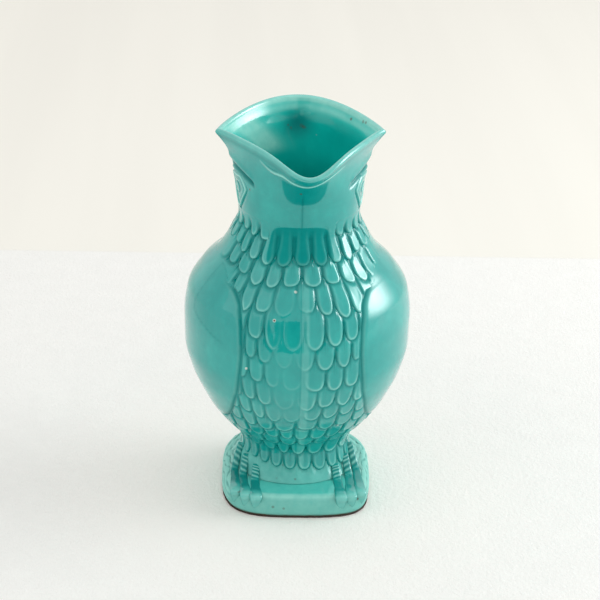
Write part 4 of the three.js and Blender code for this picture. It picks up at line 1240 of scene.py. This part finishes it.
def make_tail(vessel, foot, material):
    """The tail: an arched skin that thickens with the square of the way down to the plinth, and
    furrows between long feathers that lie side by side."""
    relief = vessel.relief
    u = np.linspace(-1, 1, 130)
    v = np.linspace(0, 1, 120)[:, None]
    level = mix(TAIL_TOP_SHARE, TAIL_FOOT_SHARE, v)
    half = mix(foot.tail_top_width, foot.tail_foot_width, ease(v)) / 2
    angle = 180 + np.degrees(np.arcsin(u * half / vessel.side(level)))
    crown = np.sqrt(1 - 0.8 * u * u)
    thick = mix(foot.tail_top_thickness, foot.tail_foot_thickness, v * v) * crown
    place = (u * TAIL_FEATHERS / 2 + 0.5) % 1
    shaft = np.abs(place - 0.5) * 2
    tip = ease((1 - v) / (0.04 + 0.05 * shaft ** 2))
    furrow = shoulder(1 - shaft, 0.55) * (0.35 + 0.65 * tip)
    carve = 0.75 * MM * ease(v / 0.12) * (1 - furrow)
    border = shoulder(1 - np.abs(u), 0.1) * shoulder(v, 0.05)
    depth = -thick * border * 0.98 + carve * border + relief.back_depth * (1 - border)
    level = np.broadcast_to(level, angle.shape)
    outer = vessel.point(angle, level, depth)
    back = vessel.point(angle[[0, -1]], level[[0, -1]], 2.4 * MM)
    pool_and_shade = np.clip(hump(1 - shaft, 0.22) * ease(v / 0.1) + hump(1 - np.abs(u), 0.05), 0, 1)
    edge = np.clip(0.5 * hump(shaft - 0.66, 0.14) + 0.5 * hump(shaft, 0.07), 0, 1) * (1 - pool_and_shade)
    marks = {"pool_and_shade": pool_and_shade + 0 * level, "edge": edge + 0 * level}
    return add_plate("tail", outer, back, marks, material)


class Shade:
    """A shader socket that takes part in sums. Every operator adds one Math node."""

    def __init__(self, tree, socket):
        self.tree = tree
        self.socket = socket

    def math(self, operation, *others):
        """A Math node on this value and others."""
        return add_node(self.tree, "ShaderNodeMath", {"operation": operation}, [self, *others])

    def __add__(self, other):
        return self.math("ADD", other)

    def __sub__(self, other):
        return self.math("SUBTRACT", other)

    def __rsub__(self, other):
        return add_node(self.tree, "ShaderNodeMath", {"operation": "SUBTRACT"}, [other, self])

    def __mul__(self, other):
        return self.math("MULTIPLY", other)

    __radd__ = __add__
    __rmul__ = __mul__

    def clamp(self):
        """The value kept between 0 and 1."""
        return add_node(self.tree, "ShaderNodeClamp", {}, [self])

    def between(self, low, high):
        """0 below low, 1 above high and smooth between them."""
        settings = {"interpolation_type": "SMOOTHSTEP"}
        return add_node(self.tree, "ShaderNodeMapRange", settings, [self, low, high, 0.0, 1.0])

    def beside(self, output):
        """Another output of the same node."""
        return Shade(self.tree, self.socket.node.outputs[output])


def add_node(tree, kind, settings, inputs, output=0):
    """A node of one kind: its settings first, then its sockets' values or links, in order or by
    name."""
    node = tree.nodes.new(kind)
    for key, value in settings.items():
        setattr(node, key, value)
    for key, value in inputs.items() if isinstance(inputs, dict) else enumerate(inputs):
        if isinstance(value, Shade):
            tree.links.new(value.socket, node.inputs[key])
        else:
            node.inputs[key].default_value = value
    return Shade(tree, node.outputs[output])


def blend_colours(tree, share, first, second):
    """A Mix node between two colours."""
    inputs = {0: share, 6: opaque(first), 7: opaque(second)}
    return add_node(tree, "ShaderNodeMix", {"data_type": "RGBA"}, inputs, output=2)


def opaque(shade):
    """A colour with its alpha, or a socket as it is."""
    return shade if isinstance(shade, Shade) else (*shade, 1)


def new_material(name):
    """An empty node material, and the tree to build it in."""
    material = bpy.data.materials.new(name)
    material.use_nodes = True
    tree = material.node_tree
    tree.nodes.clear()
    return material, tree


def own_place(tree):
    """The piece's own coordinates, to lay patterns on."""
    return add_node(tree, "ShaderNodeTexCoord", {}, [], output=3)


def finish_material(material, kind, inputs):
    """The shader and the output that close a material."""
    tree = material.node_tree
    shader = add_node(tree, kind, {}, inputs)
    output = tree.nodes.new("ShaderNodeOutputMaterial")
    tree.links.new(shader.socket, output.inputs["Surface"])
    return material


def noise(tree, vector, scale, detail=3.0, rough=0.5):
    """Fractal noise about 0.5, by its waves per metre."""
    inputs = {"Vector": vector, "Scale": scale, "Detail": detail, "Roughness": rough}
    return add_node(tree, "ShaderNodeTexNoise", {}, inputs)


def distance_to(tree, where, place):
    """Metres from a point."""
    settings = {"operation": "DISTANCE"}
    return add_node(tree, "ShaderNodeVectorMath", settings, [where, place], output=1)


def bump(tree, strength, distance, height):
    """A Bump node, for Normal."""
    inputs = {"Strength": strength, "Distance": distance, "Height": height}
    return add_node(tree, "ShaderNodeBump", {}, inputs)


def toned(shade, share):
    """A colour with each of its parts multiplied, to 1 at most."""
    return tuple(min(1.0, value * share) for value in shade)


def glaze_material(look):
    """Turquoise glaze over pale clay. It is dark where it pools and where shade is painted, pale
    where it breaks over an edge and where light and highlights are painted, clouded, and marked by
    a few iron specks and pinholes."""
    material, tree = new_material(GLAZE_NAME)
    where = own_place(tree)
    pool_and_shade, edge, stain, bright, matte_and_shade = (
        add_node(tree, "ShaderNodeAttribute", {"attribute_name": mark}, [], output=2)
        for mark in ("pool_and_shade", "edge", "stain", "bright", "matte_and_shade"))
    runs = add_node(tree, "ShaderNodeMapping", {}, {"Vector": where, "Scale": (1, 1, 0.22)})
    clouds = noise(tree, where, 38, 3.0, 0.55)
    mottle = noise(tree, where, 210, 4.0, 0.6)
    streaks = noise(tree, runs, 120, 3.0, 0.6)
    grit = noise(tree, where, 1500, 2.0, 0.6)
    thin = (clouds.between(0.42, 0.68) * 0.5 + mottle.between(0.45, 0.75) * 0.28
            + streaks.between(0.45, 0.72) * 0.22)
    coat = blend_colours(tree, thin.clamp(), look.body, look.milky)
    # Painted light inside the mouth and on the ledge
    coat = blend_colours(tree, (bright * (0.75 + mottle * 0.5)).clamp(), coat, look.bright)
    ragged = (edge * (0.55 + mottle * 0.75)).clamp()
    # Pale where the glaze breaks over edges, and painted highlights and light carried by the edge
    # mark
    coat = blend_colours(tree, ragged * 0.95, coat, look.thinned_and_lit)
    deep = (pool_and_shade * (0.65 + streaks * 0.5)).clamp()
    # Darker where the glaze pools, and painted shade where the same mark carries it
    coat = blend_colours(tree, deep * 0.95, coat, look.pooled_and_shaded)
    cells = add_node(tree, "ShaderNodeTexVoronoi", {"feature": "F1"},
                     {"Vector": where, "Scale": SPECK_CELLS, "Randomness": 1.0})
    chance = add_node(tree, "ShaderNodeSeparateColor", {}, [cells.beside(1)])
    chosen = chance.between(*SPECK_CHANCE)
    dot = (1 - cells.between(0.035, 0.075)) * chosen
    halo = (1 - cells.between(0.07, 0.13)) * chosen
    coat = blend_colours(tree, halo * 0.55, coat, look.pinhole)
    coat = blend_colours(tree, dot * 0.9, coat, look.speck)
    coat = blend_colours(tree, (stain * (0.4 + mottle)).clamp(), coat, look.speck)
    for x, y, z, halo_size, dot_size, strength in GLAZE_SPOTS:
        apart = distance_to(tree, where, (x * MM, y * MM, z * MM))
        if halo_size:
            ring = 1 - apart.between(halo_size * 0.5 * MM, halo_size * MM)
            coat = blend_colours(tree, ring * 0.8, coat, look.pinhole)
        mark = (1 - apart.between(dot_size * 0.5 * MM, dot_size * MM)) * strength
        coat = blend_colours(tree, mark, coat, look.speck)
    rough = 0.3 + grit * 0.1 + stain * 0.3 + dot * 0.3
    # Less coat where the glaze pools stands in for shade in the grooves; the coat is also cut on
    # the rough plinth sides and the leg, and as painted shade under the lip, on the upper breast
    # and inside the mouth
    gloss = (1 - pool_and_shade * 0.85 - matte_and_shade - stain * 0.5).clamp()
    wave = noise(tree, where, 90, 2.0, 0.4)
    height = wave * 0.35 + grit * 0.012 + (1 - cells.between(0.03, 0.09)) * chosen * -0.25
    return finish_material(material, PRINCIPLED, {
        "Base Color": coat, "Roughness": rough.clamp(), "Specular IOR Level": 0.06,
        "Coat Weight": gloss, "Coat Roughness": look.gloss, "Coat IOR": 1.62,
        "Normal": bump(tree, 0.35, 0.5 * MM, height)})


def clay_material(look):
    """Bare fired clay: dark, matt and gritty."""
    material, tree = new_material("pitcher_clay")
    where = own_place(tree)
    patches = noise(tree, where, 260, 4.0, 0.6)
    grit = noise(tree, where, 2600, 2.0, 0.7)
    shade = blend_colours(tree, (patches.between(0.45, 0.8) * 0.7).clamp(), look.clay,
                          toned(look.clay, 2.6))
    rough = 0.7 + patches * 0.25
    return finish_material(material, PRINCIPLED, {
        "Base Color": shade, "Roughness": rough.clamp(), "Normal": bump(tree, 0.7, 0.3 * MM, grit)})


def stage_material(look):
    """Fine pale plaster under the pitcher, with painted light round its foot, and a warmer cloth
    beyond a straight edge behind it, with the shade of its soft folds painted on.
    """
    material, tree = new_material("stage_surface")
    where = own_place(tree)
    across = add_node(tree, "ShaderNodeSeparateXYZ", {}, [where])
    along = across.beside(1)
    beyond = (along + across * 0.035).between(0.309, 0.313)
    trowel = noise(tree, where, 60, 5.0, 0.65)
    grain = noise(tree, where, 420, 3.0, 0.7)
    plaster = blend_colours(tree, (trowel.between(0.35, 0.75) * 0.5 + grain * 0.3).clamp(),
                            toned(look.floor, 0.955), look.floor)
    stretched = add_node(tree, "ShaderNodeMapping", {}, {"Vector": where, "Scale": (1, 0.06, 1)})
    # Painted shade: the cloth's soft folds, as lighter and darker colour on the flat stage
    folds = noise(tree, stretched, 14, 3.0, 0.5)
    cloth = blend_colours(tree, folds.between(0.35, 0.7), toned(look.backdrop, 0.975),
                          look.backdrop)
    # Painted light: the floor round the foot is paler and warmer, against the pitcher's shadow and
    # the green light thrown from the glaze
    painted_light_round_foot = 1 - distance_to(tree, where, (0, 0, 0)).between(0.04, 0.17)
    plaster = blend_colours(tree, painted_light_round_foot, plaster, (1.0, 0.955, 0.915))
    height = (trowel * 0.8 + grain * 0.9) * (1 - beyond)
    return finish_material(material, PRINCIPLED, {
        "Base Color": blend_colours(tree, beyond, plaster, cloth), "Roughness": 0.85,
        "Specular IOR Level": 0.2, "Normal": bump(tree, 0.5, 1.2 * MM, height)})


def window_material():
    """A shining window whose light falls off towards its sides, seen only in reflections."""
    material, tree = new_material("stage_window")
    where = own_place(tree)
    glow = 1 - distance_to(tree, where, WINDOW_MIDDLE).between(0.02, 1.1)
    shade = blend_colours(tree, glow * glow, (0.065, 0.065, 0.065), (0.95, 1, 1))
    return finish_material(material, PRINCIPLED, {
        "Base Color": (0, 0, 0, 1), "Specular IOR Level": 0.0, "Emission Color": shade,
        "Emission Strength": 14.0})


def dark_material():
    """A dark card that the glaze mirrors."""
    material, _ = new_material("stage_dark")
    return finish_material(material, "ShaderNodeEmission",
                           {"Color": (0.03, 0.035, 0.035, 1), "Strength": 1.0})


def vessel_now():
    """The vessel's surface at the present sizes."""
    scene = bpy.context.scene
    return Vessel(scene.pitcher_vessel, scene.pitcher_relief)


def glaze():
    """The glaze, made once."""
    return bpy.data.materials.get(GLAZE_NAME) or glaze_material(bpy.context.scene.pitcher_look)


class AddFoot(Operator):
    """Adds the bare clay foot"""

    bl_idname = "pitcher.add_foot"
    bl_label = "Unglazed Foot"

    def execute(self, context):
        make_foot(context.scene.pitcher_foot, clay_material(context.scene.pitcher_look))
        return {"FINISHED"}


class AddPlinth(Operator):
    """Adds the rounded square plinth"""

    bl_idname = "pitcher.add_plinth"
    bl_label = "Plinth"

    def execute(self, context):
        make_plinth(context.scene.pitcher_foot, glaze())
        return {"FINISHED"}


class AddVessel(Operator):
    """Adds the hollow vessel with its head, lip and rim"""

    bl_idname = "pitcher.add_vessel"
    bl_label = "Vessel Wall"

    def execute(self, context):
        make_wall(vessel_now(), glaze())
        return {"FINISHED"}


class AddBreastFeathers(Operator):
    """Adds the rows of feathers down the breast and the leg"""

    bl_idname = "pitcher.add_breast_feathers"
    bl_label = "Breast Feathers"

    def execute(self, context):
        for number in range(1, len(FEATHER_ROWS)):
            make_feather_row(vessel_now(), number, f"breast_feathers_row_{number:02d}", glaze())
        return {"FINISHED"}


class AddNeckFeathers(Operator):
    """Adds the half rows of feathers beside the smooth bib"""

    bl_idname = "pitcher.add_neck_feathers"
    bl_label = "Neck Feathers"

    def execute(self, context):
        for side_name, side in SIDES:
            make_feather_row(vessel_now(), 0, f"{side_name}_neck_feathers", glaze(), side)
        return {"FINISHED"}


class AddWings(Operator):
    """Adds the two folded wings"""

    bl_idname = "pitcher.add_wings"
    bl_label = "Wings"

    def execute(self, context):
        for side_name, side in SIDES:
            make_wing(vessel_now(), side, f"{side_name}_wing", glaze())
        return {"FINISHED"}


class AddEyes(Operator):
    """Adds the carved eyes and their pupils"""

    bl_idname = "pitcher.add_eyes"
    bl_label = "Eyes and Pupils"

    def execute(self, context):
        vessel = vessel_now()
        relief = vessel.relief
        discs = (("eye", EYE_SHARE, eye_profile,
                  lambda forward, up: eye_outline(relief, forward, up)),
                 ("pupil", PUPIL_SHARE, pupil_profile,
                  lambda forward, up: relief.pupil_width / 2 + 0 * up))
        for side_name, side in SIDES:
            for disc, share, profile, outline in discs:
                head_disc(vessel, side, EYE_ANGLE, share, outline, profile,
                          f"{side_name}_{disc}", glaze())
        return {"FINISHED"}


class AddBeakRidge(Operator):
    """Adds the raised line under the lip"""

    bl_idname = "pitcher.add_beak_ridge"
    bl_label = "Beak Ridge"

    def execute(self, context):
        make_beak_ridge(vessel_now(), glaze())
        return {"FINISHED"}


class AddToes(Operator):
    """Adds three toes with talons on each side"""

    bl_idname = "pitcher.add_toes"
    bl_label = "Toes"

    def execute(self, context):
        vessel = vessel_now()
        for side_name, side in SIDES:
            for toe_name, order in (("inner", -1), ("middle", 0), ("outer", 1)):
                make_toe(vessel, context.scene.pitcher_foot, side, order,
                         f"{side_name}_{toe_name}_toe", glaze())
        return {"FINISHED"}


class AddHandle(Operator):
    """Adds the loop handle behind the head"""

    bl_idname = "pitcher.add_handle"
    bl_label = "Handle"

    def execute(self, context):
        make_handle(vessel_now(), context.scene.pitcher_foot, glaze())
        return {"FINISHED"}


class AddTail(Operator):
    """Adds the tail on the back"""

    bl_idname = "pitcher.add_tail"
    bl_label = "Tail"

    def execute(self, context):
        make_tail(vessel_now(), context.scene.pitcher_foot, glaze())
        return {"FINISHED"}


def add_area(name, place, size, power, shade=(1, 1, 1)):
    """A soft light, wide and high, that faces the pitcher's middle."""
    lamp = bpy.data.lights.new(name, "AREA")
    lamp.shape = "RECTANGLE"
    lamp.size, lamp.size_y = size
    lamp.energy = power
    lamp.color = shade
    light = bpy.data.objects.new(name, lamp)
    bpy.context.scene.collection.objects.link(light)
    light.location = place
    ahead = Vector(PITCHER_MIDDLE) - Vector(place)
    light.rotation_euler = ahead.to_track_quat("-Z", "Y").to_euler()
    return light


def add_card(name, corners, material):
    """A flat four-sided sheet of the stage."""
    mesh = bpy.data.meshes.new(name)
    mesh.from_pydata(corners, [], [(0, 1, 2, 3)])
    mesh.materials.append(material)
    card = bpy.data.objects.new(name, mesh)
    bpy.context.scene.collection.objects.link(card)
    return card


class AddStage(Operator):
    """Adds the floor, the cards that the glaze mirrors, the soft lights and the camera"""

    bl_idname = "pitcher.add_stage"
    bl_label = "Stage"

    def execute(self, context):
        scene = context.scene
        near_left, near_right = (-STAGE_REACH, -STAGE_REACH, 0), (STAGE_REACH, -STAGE_REACH, 0)
        far_left, far_right = (-STAGE_REACH, STAGE_REACH, 0), (STAGE_REACH, STAGE_REACH, 0)
        add_card("stage_floor", [near_left, near_right, far_right, far_left],
                 stage_material(scene.pitcher_look))
        dark = dark_material()
        left, right, near, beyond, top = DARK_CARD
        x, y_near, y_far, z_low, z_high = WINDOW_CARD
        reflected = (
            add_card("stage_dark_floor", [(left, beyond, MM), (right, beyond, MM),
                                          (0.04, near, MM), (-0.26, near, MM)], dark),
            add_card("stage_dark_wall", [(left, beyond, 0), (right, beyond, 0),
                                         (right, beyond, top), (left, beyond, top)], dark),
            add_card("stage_window", [(x, y_near, z_low), (x, y_far, z_low),
                                      (x, y_far, z_high), (x, y_near, z_high)], window_material()),
        )
        for card in reflected:
            for ray in ("camera", "diffuse", "shadow", "transmission"):
                setattr(card, f"visible_{ray}", False)
        key = add_area("key_light", (1.25, 0.08, 0.62), (0.8, 0.8), 8.0, (0.92, 0.99, 1))
        key.visible_glossy = False
        add_area("fill_light", (-1.3, -0.6, 1.1), (1.2, 1.2), 2.0)
        world = bpy.data.worlds.new("studio")
        scene.world = world
        world.use_nodes = True
        sky = world.node_tree.nodes["Background"]
        sky.inputs["Color"].default_value = (1.0, 0.995, 0.98, 1)
        sky.inputs["Strength"].default_value = 0.87
        self.add_camera(scene)
        scene.view_settings.view_transform = "Standard"
        return {"FINISHED"}

    def add_camera(self, scene):
        """The camera of the photograph: a long lens a metre away, a little above."""
        turn, tilt, roll = (math.radians(angle) for angle in CAMERA_ANGLES)
        target = Vector(CAMERA_TARGET) * MM
        back = Vector((math.sin(turn) * math.cos(tilt), -math.cos(turn) * math.cos(tilt),
                       math.sin(tilt)))
        lens = bpy.data.cameras.new("camera")
        lens.sensor_width = SENSOR_WIDTH
        lens.lens = FOCAL_LENGTH
        camera = bpy.data.objects.new("camera", lens)
        scene.collection.objects.link(camera)
        facing = (-back).to_track_quat("-Z", "Y").to_matrix().to_4x4()
        camera.matrix_world = (Matrix.Translation(target + back * CAMERA_DISTANCE) @ facing
                               @ Matrix.Rotation(roll, 4, "Z"))
        scene.camera = camera


class PitcherPanel(Panel):
    """Lists the sizes, the colours and the pieces"""

    bl_idname = "VIEW3D_PT_owl_pitcher"
    bl_label = "Owl Pitcher"
    bl_space_type = "VIEW_3D"
    bl_region_type = "UI"
    bl_category = "Owl Pitcher"

    def draw(self, context):
        for group_name in GROUPS:
            group = getattr(context.scene, group_name)
            column = self.layout.column(align=True)
            for name in group.bl_rna.properties.keys():
                if name not in ("rna_type", "name"):
                    column.prop(group, name)
        for operator in OPERATORS:
            self.layout.operator(operator.bl_idname)


GROUPS = {
    "pitcher_vessel": VesselShape,
    "pitcher_relief": ReliefShape,
    "pitcher_foot": FootShape,
    "pitcher_look": GlazeLook,
}
OPERATORS = (AddFoot, AddPlinth, AddVessel, AddBreastFeathers, AddNeckFeathers, AddWings, AddEyes,
             AddBeakRidge, AddToes, AddHandle, AddTail, AddStage)


def register():
    """Makes the groups, operators and panel known to Blender."""
    for cls in (*GROUPS.values(), *OPERATORS, PitcherPanel):
        bpy.utils.register_class(cls)
    for name, cls in GROUPS.items():
        setattr(bpy.types.Scene, name, PointerProperty(type=cls))


def unregister():
    """Takes them out again."""
    for name in GROUPS:
        delattr(bpy.types.Scene, name)
    for cls in (PitcherPanel, *reversed(OPERATORS), *reversed(tuple(GROUPS.values()))):
        bpy.utils.unregister_class(cls)


def main():
    register()
    for operator in OPERATORS:
        group, name = operator.bl_idname.split(".")
        getattr(getattr(bpy.ops, group), name)()


if __name__ == "__main__":
    main()
